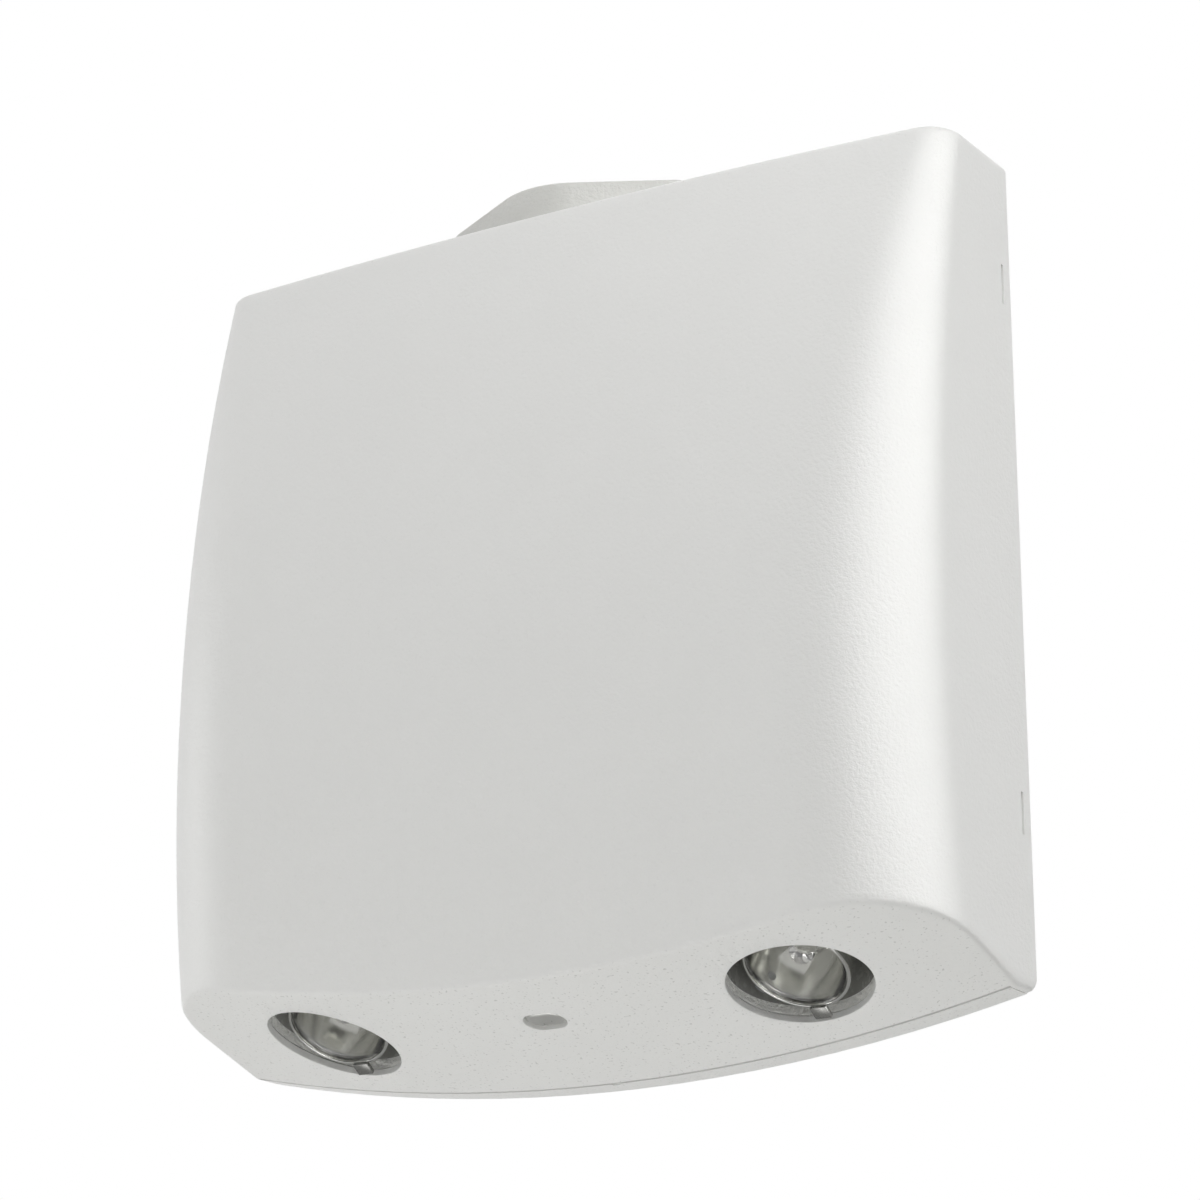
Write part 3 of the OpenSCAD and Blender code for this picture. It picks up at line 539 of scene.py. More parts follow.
class Workpiece:
    """One mesh on the bench: a primitive that Blender's own tools shape."""

    def __init__(self, name: str) -> None:
        """Takes the primitive that was just added.

        Args:
            name: The piece's name.
        """
        self.body: bpy.types.Object = bpy.context.active_object
        self.body.name = name
        self.body.data.name = name

    @staticmethod
    def clear() -> None:
        """Deselects everything, so that no tool reaches another piece."""
        for thing in bpy.context.view_layer.objects:
            thing.select_set(False)

    @classmethod
    def cylinder(
        cls, name: str, radius: float, low: float, high: float, at: Point = (0.0, 0.0), facets: int = 48
    ) -> Self:
        """Adds an upright cylinder.

        Args:
            name: The piece's name.
            radius: Its radius.
            low: Height of its lower face.
            high: Height of its upper face.
            at: Place of its axis.
            facets: Sides of its outline.

        Returns:
            The piece.
        """
        cls.clear()
        centre = (*at, (low + high) / 2)
        size = {"vertices": facets, "radius": radius, "depth": high - low}
        bpy.ops.mesh.primitive_cylinder_add(**size, location=centre)
        return cls(name).settle()

    @classmethod
    def block(cls, name: str, low: Sequence[float], high: Sequence[float]) -> Self:
        """Adds a rectangular block between two corners.

        Args:
            name: The piece's name.
            low: Lowest corner.
            high: Highest corner.

        Returns:
            The piece.
        """
        cls.clear()
        bpy.ops.mesh.primitive_cube_add(size=1.0, location=[(a + b) / 2 for a, b in zip(low, high)])
        piece = cls(name)
        piece.body.scale = [b - a for a, b in zip(low, high)]
        return piece.settle()

    @classmethod
    def sheet(cls, name: str, points: np.ndarray) -> Self:
        """Adds a grid and lays its vertices on a table of points.

        Args:
            name: The piece's name.
            points: Rows of points, as an array of rows, columns and three.

        Returns:
            The piece.
        """
        cls.clear()
        rows, columns = points.shape[:2]
        bpy.ops.mesh.primitive_grid_add(x_subdivisions=columns - 1, y_subdivisions=rows - 1, size=1.0)
        piece = cls(name)
        flat = piece.points()
        laid = np.zeros_like(flat)
        laid[np.lexsort((np.round(flat[:, 0], 6), np.round(flat[:, 1], 6)))] = points.reshape(-1, 3)
        return piece.lay(laid)

    @classmethod
    def lathe(cls, name: str, profile: Sequence[Point], steps: int = 128) -> Self:
        """Turns a closed outline about the z axis.

        Args:
            name: The piece's name.
            profile: Radius and height of each corner, in order.
            steps: Steps of the turn.

        Returns:
            The piece.
        """
        cls.clear()
        bpy.ops.mesh.primitive_circle_add(vertices=len(profile), radius=1.0, fill_type="NOTHING")
        piece = cls(name).lay(np.array([(r, 0.0, z) for r, z in profile]))

        def turn() -> None:
            """Spins the outline and closes the seam."""
            bpy.ops.mesh.select_all(action="SELECT")
            bpy.ops.mesh.spin(steps=steps, angle=2 * math.pi, center=(0, 0, 0), axis=(0, 0, 1))
            bpy.ops.mesh.select_all(action="SELECT")
            bpy.ops.mesh.remove_doubles(threshold=2 * NEAR)
            bpy.ops.mesh.dissolve_degenerate(threshold=NEAR / 10)
            face_outwards()

        return piece.edit(turn)

    @classmethod
    def prism(cls, name: str, outline: Sequence[Point], low: float, high: float) -> Self:
        """Raises a flat outline into a prism.

        Args:
            name: The piece's name.
            outline: Corners in x and y, in order.
            low: Height of the lower face.
            high: Height of the upper face.

        Returns:
            The piece.
        """
        cls.clear()
        bpy.ops.mesh.primitive_circle_add(vertices=len(outline), radius=1.0, fill_type="NGON")
        piece = cls(name).lay(np.array([(x, y, low) for x, y in outline]))

        def raise_face() -> None:
            """Extrudes the face upwards."""
            bpy.ops.mesh.select_all(action="SELECT")
            bpy.ops.mesh.extrude_region_move(TRANSFORM_OT_translate={"value": (0, 0, high - low)})
            face_outwards()

        return piece.edit(raise_face)

    def lay(self, points: np.ndarray) -> Self:
        """Moves every vertex to its point.

        Args:
            points: The vertices' new places.

        Returns:
            The piece.
        """
        mesh = self.body.data
        mesh.vertices.foreach_set("co", np.ascontiguousarray(points, dtype=np.float32).ravel())
        mesh.update()
        return self

    def points(self) -> np.ndarray:
        """Reads the vertices' places.

        Returns:
            The places, a row for each vertex.
        """
        flat = np.zeros(len(self.body.data.vertices) * 3)
        self.body.data.vertices.foreach_get("co", flat)
        return flat.reshape(-1, 3)

    def focus(self) -> None:
        """Makes this the only piece that tools act on."""
        self.clear()
        self.body.select_set(True)
        bpy.context.view_layer.objects.active = self.body

    def settle(self) -> Self:
        """Moves the piece's place, turn and size into its mesh.

        Returns:
            The piece.
        """
        self.focus()
        bpy.ops.object.transform_apply(location=True, rotation=True, scale=True)
        return self

    def edit(self, work: Callable[[], object], picked: Picked = Picked.VERTICES) -> Self:
        """Runs edit mode tools on the piece.

        Args:
            work: What to do in edit mode.
            picked: Kind of element that the tools act on.

        Returns:
            The piece.
        """
        self.focus()
        bpy.context.tool_settings.mesh_select_mode = picked.value
        bpy.ops.object.mode_set(mode="EDIT")
        work()
        bpy.ops.object.mode_set(mode="OBJECT")
        return self

    def finish_with(self, kind: str, **settings: object) -> Self:
        """Adds a modifier and applies it.

        Args:
            kind: The modifier's type.
            **settings: Its settings.

        Returns:
            The piece.
        """
        self.focus()
        modifier = self.body.modifiers.new(kind.lower(), kind)
        for name, value in settings.items():
            setattr(modifier, name, value)
        bpy.ops.object.modifier_apply(modifier=modifier.name)
        return self

    def bevel(
        self, width: float, segments: int, wanted: Callable[[bpy.types.MeshEdge], bool], clamp: bool = True
    ) -> None:
        """Rounds the edges that pass a test.

        Args:
            width: How wide the rounding is.
            segments: Its facets.
            wanted: The test.
            clamp: Whether roundings stop where they meet.
        """
        mesh = self.body.data
        for part in (mesh.vertices, mesh.polygons):
            part.foreach_set("select", [False] * len(part))
        for edge in mesh.edges:
            edge.select = wanted(edge)
        sizes = {"offset": width, "segments": segments, "affect": "EDGES", "clamp_overlap": clamp}
        self.edit(lambda: bpy.ops.mesh.bevel(**sizes), Picked.EDGES)

    def combine(self, tool: "Workpiece", how: Cut) -> None:
        """Cuts or joins the piece with a tool, which is used up.

        Args:
            tool: The other solid.
            how: Whether it is taken away or added.
        """
        self.finish_with("BOOLEAN", object=tool.body, operation=how.value, solver="EXACT")
        mesh = tool.body.data
        bpy.data.objects.remove(tool.body)
        bpy.data.meshes.remove(mesh)

    def join(self, other: "Workpiece") -> None:
        """Takes another piece's mesh into this one.

        Args:
            other: The other piece.
        """
        self.focus()
        other.body.select_set(True)
        bpy.ops.object.join()

    def carry(self, matrix: Matrix) -> Self:
        """Moves the mesh by a matrix, and keeps its faces outwards if that mirrors it.

        Args:
            matrix: The matrix.

        Returns:
            The piece.
        """
        self.body.data.transform(matrix)
        if matrix.determinant() < 0:
            self.body.data.flip_normals()
        self.body.data.update()
        return self

    def smooth(self, angle: float = 35.0) -> Self:
        """Shades the piece smooth but for its sharp edges.

        Args:
            angle: Least angle of a sharp edge, in degrees.

        Returns:
            The piece.
        """
        self.focus()
        bpy.ops.object.shade_smooth_by_angle(angle=math.radians(angle))
        return self

    def twin(self, name: str) -> Self:
        """Copies the piece with a mesh of its own.

        Args:
            name: The copy's name.

        Returns:
            The copy.
        """
        copy = self.body.copy()
        copy.data = self.body.data.copy()
        bpy.context.scene.collection.objects.link(copy)
        bpy.context.view_layer.objects.active = copy
        return type(self)(name)

    def paint(self, place: int, where: Callable[[Vector], bool]) -> Self:
        """Gives faces another of the piece's finishes.

        Args:
            place: Which of its finishes.
            where: Test that the middle of such a face passes.

        Returns:
            The piece.
        """
        for face in self.body.data.polygons:
            if where(face.center):
                face.material_index = place
        return self

    def hand_over(
        self, finishes: Sequence[bpy.types.Material], rides: str, slot: str, stands_for: Sequence[str]
    ) -> None:
        """Dresses the finished piece and sets it on its body.

        Args:
            finishes: Its materials, the first for all that is not painted otherwise.
            rides: The body that it moves with.
            slot: The record's material slot; not used.
            stands_for: The solids that it is shown in place of.
        """
        for finish in finishes:
            self.body.data.materials.append(finish)
        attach(self.body, rides)
        if stands_for:
            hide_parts(*stands_for)
        log.info("%s: %d faces, rides on %s", self.body.name, len(self.body.data.polygons), rides)


# ---------------------------------------------------------------- the housing


@dataclass(frozen=True)
class Underside:
    """The arched underside: a large cylinder that slopes down to the seam and is level behind it."""

    half_width: float = 150 * MM
    drop: float = 16.9 * MM
    slope: float = math.radians(17.42)
    seam_depth: float = 14.6 * MM
    lowest: float = -194.9 * MM
    rear_round: float = 4 * MM

    @property
    def radius(self) -> float:
        """Radius of the arch, square to the slope."""
        rise = self.drop * math.cos(self.slope)
        return (self.half_width**2 + rise**2) / (2 * rise)

    @property
    def centre(self) -> Vector:
        """A point on the arch's axis."""
        ahead, up = self.radius * math.sin(self.slope), self.radius * math.cos(self.slope)
        return Vector((0, ahead - self.seam_depth, self.lowest + up))

    def height(self, x: np.ndarray, y: np.ndarray) -> np.ndarray:
        """Works out the underside's height over the plan.

        Args:
            x: The places' x.
            y: Their y.

        Returns:
            The heights.
        """
        fall = np.sqrt(self.radius**2 - x**2)
        along = np.minimum(y, -self.seam_depth) - self.centre.y
        behind = np.clip(y + self.rear_round, 0, self.rear_round)
        lift = self.rear_round - np.sqrt(self.rear_round**2 - behind**2)
        return self.centre.z - (fall + along * math.sin(self.slope)) / math.cos(self.slope) + lift

    def reach(self, across: float, depth: float) -> Point:
        """Measures the way to a place on the underside.

        Args:
            across: Its distance from the middle.
            depth: Its distance from the wall.

        Returns:
            Its lean, and its way along the slope.
        """
        lean = math.asin(across / self.radius)
        rise = self.radius * math.sin(self.slope) * (1 - math.cos(lean))
        return lean, (depth - self.seam_depth + rise) / math.cos(self.slope)

    def frame_at(self, across: float, depth: float) -> Matrix:
        """Returns the frame of a place: x to the right, y to the wall, z square into the body.

        Args:
            across: Its distance from the middle.
            depth: Its distance from the wall.

        Returns:
            The frame.
        """
        lean, along = self.reach(across, depth)
        slope = Matrix.Translation(self.centre) @ Matrix.Rotation(-self.slope, 4, "X")
        arch = Matrix.Translation((0, -along, 0)) @ Matrix.Rotation(-lean, 4, "Y")
        return slope @ arch @ Matrix.Translation((0, 0, -self.radius))

    def bend(self, piece: Workpiece, across: float, depth: float) -> Workpiece:
        """Lays a piece, made flat in the frame of a place, round the arch.

        Args:
            piece: The piece, z into the body.
            across: The place's distance from the middle.
            depth: The place's distance from the wall.

        Returns:
            The piece.
        """
        lean, along = self.reach(across, depth)
        flat = piece.points()
        turn = -(lean + flat[:, 0] / self.radius)
        arm = flat[:, 2] - self.radius
        local = np.stack([arm * np.sin(turn), flat[:, 1] - along, arm * np.cos(turn)], axis=1)
        rows = np.array(Matrix.Rotation(-self.slope, 3, "X"))
        return piece.lay(local @ rows.T + np.array(self.centre))


@dataclass(frozen=True)
class DepthCurve:
    """A depth that grows below the top edge, in millimetres.

    Attributes:
        greatest: The greatest depth.
        gain: What it gains from the top edge on.
        drop: How far below the top edge it is greatest.
    """

    greatest: float
    gain: float
    drop: float

    def at(self, drop: np.ndarray) -> np.ndarray:
        """Returns the depth at a drop below the top edge."""
        return (self.greatest - self.gain * (drop / (self.drop * MM) - 1) ** 2) * MM


@dataclass
class HousingCover:
    """The bowed cover, moulded as one shell from a few curves, with its openings, bosses and slots.

    Attributes:
        top: Height of its top edge.
        back: Its distance from the wall.
        hole_corners: Corners of a lamp's hole and of the button's.
        hole_cut: Where a hole's tool starts and ends, square to the underside.
        below: A height under the whole cover.
        beyond: How far a tool stands out behind the wall.
        over: How far a tool stands out of other faces.
        side_marks: Where the side's columns of points stand, in millimetres from the wall.
    """

    under: Underside
    half_width: float = 150 * MM
    top: float = 110 * MM
    wall: float = 2.5 * MM
    back: float = 0.5 * MM
    side_curve: DepthCurve = DepthCurve(53, 20.5, 165)
    front_curve: DepthCurve = DepthCurve(91, 44.5, 203)
    band_full: float = 43
    band_gain: float = 31
    band_drop: float = 180 * MM
    bow: float = 5 * MM
    bow_drop: float = 203 * MM
    top_round: float = 3 * MM
    least_round: float = 0.5 * MM
    crease_round: float = 1.5 * MM
    crease_angle: float = math.radians(40)
    hole_round: float = 0.45 * MM
    hole_corners: tuple[int, int] = (128, 48)
    hole_cut: Point = (-3 * MM, 3.7 * MM)
    seam_gap: float = 0.8 * MM
    flange_top: float = -168 * MM
    below: float = -250 * MM
    beyond: float = 5 * MM
    over: float = 1 * MM
    lamp_x: float = 90.6 * MM
    lamp_depth: float = 49.7 * MM
    lamp_hole: float = 23.85 * MM
    button_depth: float = 58 * MM
    button_hole: Point = (15.5 * MM, 10.5 * MM)
    snap_depth: float = 6.2 * MM
    snap_slot: Spot = (4 * MM, 0.8 * MM, 7.15 * MM)
    snap_drops: Point = (45.8 * MM, 230.2 * MM)
    boss: float = 3.6 * MM
    boss_reach: float = 29.55 * MM
    boss_end: float = 14 * MM
    post: float = 3 * MM
    post_x: float = 15 * MM
    post_end: float = 16 * MM
    side_marks: tuple[float, ...] = (0.9, 1.5, 2.3, 3.1, 4.0, 14.6, 21.0, 28.0, 35.0)
    band_steps: int = 16
    middle_steps: int = 44
    height_steps: int = 72
    round_steps: int = 6

    def columns(self, back: float) -> tuple[np.ndarray, np.ndarray, np.ndarray]:
        """Lists the outline's columns from the right side to the left.

        Args:
            back: Where the sides end, as a distance from the wall.

        Returns:
            Each column's zone, its share of that zone and its sign.
        """
        seam = self.under.height(np.array(self.half_width), np.array(-self.under.seam_depth))
        end = float(self.side_curve.at(self.top - seam))
        sides = np.array([0.0] + [(mark * MM - back) / (end - back) for mark in self.side_marks] + [1.0])
        bands = np.linspace(0, QUARTER, self.band_steps + 1)[1:]
        middle = np.linspace(1, -1, self.middle_steps + 1)[1:-1]
        runs = (
            (Zone.SIDE, sides, 1),
            (Zone.BAND, bands, 1),
            (Zone.MIDDLE, middle, 1),
            (Zone.BAND, bands[::-1], -1),
            (Zone.SIDE, sides[::-1], -1),
        )
        zone = np.concatenate([np.full(len(shares), zone.value) for zone, shares, _ in runs])
        sign = np.concatenate([np.full(len(shares), way) for _, shares, way in runs])
        return zone, np.concatenate([shares for _, shares, _ in runs]), sign

    def outline(self, drop: np.ndarray, inset: float, back: float) -> tuple[np.ndarray, np.ndarray]:
        """Places the outline's columns in plan.

        Args:
            drop: Each column's drop below the top edge.
            inset: How far the outline is drawn in.
            back: Where the sides end, as a distance from the wall.

        Returns:
            The columns' x and their depth from the wall.
        """
        zone, share, sign = self.columns(back)
        narrowing = np.maximum(0, 1 - drop / self.band_drop)
        inner = self.half_width - (self.band_full - self.band_gain * narrowing**2) * MM
        side = self.side_curve.at(drop)
        front = self.front_curve.at(drop) - inset
        middle = front + self.bow * np.maximum(0, 1 - drop / self.bow_drop) * (1 - share**2)
        reach = self.half_width - inset
        band = inner + (reach - inner) * np.cos(share)
        where = [zone == Zone.SIDE.value, zone == Zone.BAND.value]
        x = np.select(where, [sign * reach, sign * band], inner * share)
        deep = [back + (side - back) * share, side + (front - side) * np.sin(share)]
        return x, np.select(where, deep, middle)

    def floor_height(self, x: np.ndarray, y: np.ndarray, inset: float) -> np.ndarray:
        """Returns the height of the underside, or of its inner face, over the plan."""
        return self.under.height(x, y) + inset / math.cos(self.under.slope)

    def lower_drop(self, inset: float, back: float, guess: float = 0.29, rounds: int = 40) -> np.ndarray:
        """Closes in on where each column meets the underside.

        Args:
            inset: How far the outline is drawn in.
            back: Where the sides end, as a distance from the wall.
            guess: First guess.
            rounds: How often the guess is improved.

        Returns:
            The columns' drops below the top edge.
        """
        drop = np.full(len(self.columns(back)[0]), guess)
        for _ in range(rounds):
            x, depth = self.outline(drop, inset, back)
            drop = self.top - self.floor_height(x, -depth, inset)
        return drop

    def lined_cap(self, edge: np.ndarray, height: Height) -> Workpiece:
        """Fills the plan behind an edge with lines from side to side.

        Args:
            edge: The edge's points, one for each column.
            height: Height of the cap over the plan.

        Returns:
            The cap.
        """
        first = len(self.side_marks) + 1
        front = edge[first : len(edge) - first]
        seam = -self.under.seam_depth
        lines = []
        for mark in edge[: first + 1, 1]:
            ahead = max(0.0, (mark - seam) / (edge[first, 1] - seam))
            y = max(mark, seam) + (front[:, 1] - seam) * ahead
            lines.append(np.stack([front[:, 0], y, height(front[:, 0], y)], axis=1))
        return Workpiece.sheet("cap", np.array(lines))

    def form(self, inset: float, back: float, turned_in: float = 2 * MM) -> Workpiece:
        """Builds the closed form of the housing, or the room inside it.

        Args:
            inset: How far its faces are drawn in.
            back: Where it ends, as a distance from the wall.
            turned_in: How far the last row lies inside the lower edge.

        Returns:
            The form.
        """
        rounding = max(self.top_round - inset, self.least_round)
        start, last = inset + rounding, self.lower_drop(inset, back)
        levels = []
        for turn in (QUARTER * step / self.round_steps for step in range(self.round_steps)):
            drop = np.full(len(last), inset + rounding * (1 - math.cos(turn)))
            levels.append((drop, inset + rounding * (1 - math.sin(turn))))
        for step in range(self.height_steps + 1):
            levels.append((start + (last - start) * step / self.height_steps, inset))
        rows = []
        for drop, drawn_in in levels:
            x, depth = self.outline(drop, drawn_in, back)
            rows.append(np.stack([x, -depth, self.top - drop], axis=1))
        x, depth = self.outline(last, inset + turned_in, back)
        rows.append(np.stack([x, -depth, self.floor_height(x, -depth, inset)], axis=1))
        form = Workpiece.sheet("front_cover_form", np.array(rows))
        form.join(self.lined_cap(rows[0], lambda x, y: np.full(len(x), self.top - inset)))
        form.join(self.lined_cap(rows[-1], lambda x, y: self.floor_height(x, y, inset)))
        return form.edit(close_form)

    def soften_crease(self, form: Workpiece) -> None:
        """Rounds the crease between the walls and the underside.

        Args:
            form: The housing's closed form.
        """
        facing: dict[tuple[int, int], list[Vector]] = {}
        for face in form.body.data.polygons:
            for key in face.edge_keys:
                facing.setdefault(key, []).append(face.normal.copy())
        places = form.points()

        def crease(edge: bpy.types.MeshEdge) -> bool:
            """Tells whether an edge is sharp and lies off the back.

            Args:
                edge: The edge.

            Returns:
                Whether it is one to round.
            """
            one, two = facing[edge.key]
            off_back = min(places[v][1] for v in edge.vertices) < -self.back - 10 * NEAR
            return off_back and one.angle(two) > self.crease_angle

        form.bevel(self.crease_round, 3, crease, clamp=False)

    def flared_hole(self, length: float, width: float, corners: int) -> Workpiece:
        """Makes the cutter of a hole with a rounded outer edge, flat in its own frame.

        Args:
            length: The hole's length, or its diameter.
            width: The hole's width, or its diameter.
            corners: Corners of its outline.

        Returns:
            The cutter, z into the body.
        """
        start, end = self.hole_cut
        levels = [(start, self.hole_round)]
        for down in (math.sin(QUARTER * step / 4) for step in range(5)):
            levels.append((self.hole_round * down, self.hole_round * (1 - math.sin(math.acos(1 - down)))))
        levels.append((end, 0.0))
        rows = []
        for depth, grow in levels:
            ring = [(x, y, depth) for x, y in round_ended(length, width, corners, grow)]
            rows.append(ring + ring[:1])
        return Workpiece.sheet("cutter", np.array(rows)).edit(close_form)

    def add_bosses(self, cover: Workpiece, facets: int = 40) -> None:
        """Adds the bosses and posts that the screws inside go into.

        Args:
            cover: The cover.
            facets: Sides of their outline.
        """
        low = self.wall / 2
        for sign in SIGNS:
            for reach in (-self.boss_reach, self.boss_reach):
                boss = Workpiece.cylinder("boss", self.boss, low, self.boss_end, (reach, 0.0), facets)
                cover.combine(boss.carry(self.under.frame_at(sign * self.lamp_x, self.lamp_depth)), Cut.ADD)
            at = (sign * self.post_x, 0.0)
            post = Workpiece.cylinder("post", self.post, low, self.post_end, at, facets)
            cover.combine(post.carry(self.under.frame_at(0.0, self.button_depth)), Cut.ADD)

    def build(self, notch: Sequence[Point]) -> Workpiece:
        """Builds the cover.

        Args:
            notch: Plan of the notch for the conduit box.

        Returns:
            The finished cover.
        """
        cover = self.form(0.0, self.back)
        self.soften_crease(cover)
        cover.combine(self.form(self.wall, -self.beyond), Cut.TAKE_AWAY)
        self.add_bosses(cover)
        lamp, button = self.hole_corners
        tools = []
        for x in (sign * self.lamp_x for sign in SIGNS):
            hole = self.flared_hole(2 * self.lamp_hole, 2 * self.lamp_hole, lamp)
            tools.append(self.under.bend(hole, x, self.lamp_depth))
        hole = self.flared_hole(*self.button_hole, button)
        tools.append(self.under.bend(hole, 0.0, self.button_depth))
        edge, seam = self.half_width - self.wall, -self.under.seam_depth - self.seam_gap
        low, high = (-edge, seam, self.below), (edge, self.beyond, self.flange_top)
        tools.append(Workpiece.block("flange", low, high))
        tools.append(Workpiece.prism("notch", notch, self.top - 2 * self.wall, self.top + self.over))
        for sign in SIGNS:
            for drop in self.snap_drops:
                middle = np.array((sign * self.half_width, -self.snap_depth, self.top - drop))
                tools.append(Workpiece.block("slot", middle - self.snap_slot, middle + self.snap_slot))
        for tool in tools:
            cover.combine(tool, Cut.TAKE_AWAY)
        cover.body.name = "front_cover_shell"
        return cover.smooth(32)


@dataclass
class ConduitBox:
    """The raised box on the top, with a blunt prow, two ears inside and an entry hole."""

    half_width: float = 50 * MM
    depth: float = 49.5 * MM
    offset: float = 13.7 * MM
    sweep: float = math.radians(28.4)
    nose: float = 30 * MM
    corner: float = 8 * MM
    wall: float = 2.5 * MM
    low: float = 98 * MM
    hollow_low: float = 93 * MM
    high: float = 124 * MM
    step_z: float = 107.4 * MM
    plate: float = 3 * MM
    entry: float = 11.1 * MM
    entry_cut: Point = (115 * MM, 130 * MM)
    rim_round: float = 1.4 * MM
    ear_half: float = 7 * MM
    ear_deep: float = 3 * MM
    ear_high: float = 12 * MM
    screw: float = 1.4 * MM
    screw_cut: float = 10 * MM
    over: float = 1 * MM

    def outline(self, inset: float, back: float) -> list[Point]:
        """Draws the box's plan.

        Args:
            inset: How far it is drawn in.
            back: Depth at which it is cut off towards the wall.

        Returns:
            Its corners.
        """
        half, nose, corner = self.half_width - inset, self.nose - inset, self.corner - inset
        tip = self.depth - inset / math.cos(self.sweep)
        flank = tip - half * math.tan(self.sweep)
        shoulder = math.degrees(QUARTER - self.sweep)
        nose_y = nose / math.cos(self.sweep) - tip
        corner_y = corner * math.tan(QUARTER / 2 - self.sweep / 2) - flank
        right = [(half, -back)] + arc((half - corner, corner_y), corner, 0, -shoulder, 8)
        right += arc((0.0, nose_y), nose, -shoulder, -90, 12)
        left = [(-x, y) for x, y in right[:-1]][::-1]
        return [(x - self.offset, y) for x, y in right + left]

    def build(self) -> Workpiece:
        """Builds the box.

        Returns:
            The finished box.
        """
        box = Workpiece.prism("conduit_box_shell", self.outline(0.0, 0.0), self.low, self.high)

        def upper(edge: bpy.types.MeshEdge) -> bool:
            """Tells whether an edge lies on the top face's rim, off the wall."""
            points = [box.body.data.vertices[v].co for v in edge.vertices]
            return all(p.z > self.high - NEAR for p in points) and not all(p.y > -NEAR for p in points)

        box.bevel(self.rim_round, 4, upper)
        wide, over = 2 * self.half_width, self.over
        step = Workpiece.block("step", (-wide, -self.plate, self.low - over), (wide, over, self.step_z))
        box.combine(step, Cut.TAKE_AWAY)
        room = self.outline(self.wall, self.wall)
        hollow = Workpiece.prism("hollow", room, self.hollow_low, self.high - self.wall)
        box.combine(hollow, Cut.TAKE_AWAY)
        for sign in SIGNS:
            x = sign * (self.half_width - self.wall / 2 - self.ear_half) - self.offset
            low = (x - self.ear_half, -self.plate - self.ear_deep, self.low)
            high = (x + self.ear_half, -self.plate, self.low + self.ear_high)
            box.combine(Workpiece.block("ear", low, high), Cut.ADD)
            hole = Workpiece.cylinder("hole", self.screw, 0.0, self.screw_cut, facets=32)
            middle = Matrix.Translation((x, 0, self.low + self.ear_high / 2))
            box.combine(hole.carry(middle @ Matrix.Rotation(QUARTER, 4, "X")), Cut.TAKE_AWAY)
        at = (-self.offset, -self.depth / 2)
        entry = Workpiece.cylinder("entry", self.entry, *self.entry_cut, at, 96)
        box.combine(entry, Cut.TAKE_AWAY)
        return box.smooth(30)


# ---------------------------------------------------------------- the lamps


@dataclass
class LampCup:
    """The recess behind an opening, closed round the swivel pin, with an ear on each side."""

    under: Underside
    hole: float
    wall: float = 1.8 * MM
    floor: float = 2.5 * MM
    depth: float = 52 * MM
    rim: float = 2.85 * MM
    rim_break: float = 0.5 * MM
    inner_round: float = 2 * MM
    outer_round: float = 3 * MM
    pin: float = 4 * MM
    ear: float = 3.6 * MM
    ear_in: float = 14 * MM
    ear_thick: float = 3 * MM
    ear_gap: float = 0.3 * MM
    screw: float = 1.4 * MM
    collar: float = 6.5 * MM
    over: float = 1 * MM
    near: float = 0.1 * MM

    def build(self) -> Workpiece:
        """Builds the cup in the frame of its opening.

        Returns:
            The finished cup.
        """
        out, inside = self.hole + self.wall, self.depth - self.floor
        profile = [(self.hole, self.rim), (self.hole, self.collar)]
        bend = (self.hole - self.inner_round, inside - self.inner_round)
        profile += arc(bend, self.inner_round, 0, 90, 5)
        profile += [(self.pin, inside), (self.pin, self.depth)]
        profile += arc((out - self.outer_round, self.depth - self.outer_round), self.outer_round, 90, 0, 5)
        profile += [(out, self.rim + self.rim_break), (out - self.rim_break, self.rim)]
        cup = Workpiece.lathe("lamp_cup", profile)
        places = cup.points()
        at_rim = places[:, 2] < self.rim + self.over
        places[at_rim, 2] += places[at_rim, 0] ** 2 / (2 * self.under.radius)
        cup.lay(places)
        low, high = self.ear_in, self.ear_in + self.ear_thick
        for x in (sign * (out + self.ear_gap + self.ear) for sign in SIGNS):
            cup.combine(Workpiece.cylinder("ear", self.ear, low, high, (x, 0.0)), Cut.ADD)
            near, far = sorted((math.copysign(self.hole + self.wall / 2, x), x))
            cup.combine(Workpiece.block("web", (near, -self.ear, low), (far, self.ear, high)), Cut.ADD)
            hole = Workpiece.cylinder("hole", self.screw, low - self.over, high + self.over, (x, 0.0), 32)
            cup.combine(hole, Cut.TAKE_AWAY)

        def polished(middle: Vector) -> bool:
            """Tells whether a place lies on the inner surface beyond the collar, which is painted grey as
            shade.
            """
            inner = math.hypot(middle.x, middle.y) < self.hole + self.near
            return inner and self.collar < middle.z < inside + self.near

        # The deep inner surface takes the second finish, a grey that is painted shade of the recess.
        return cup.paint(1, polished).smooth(30)


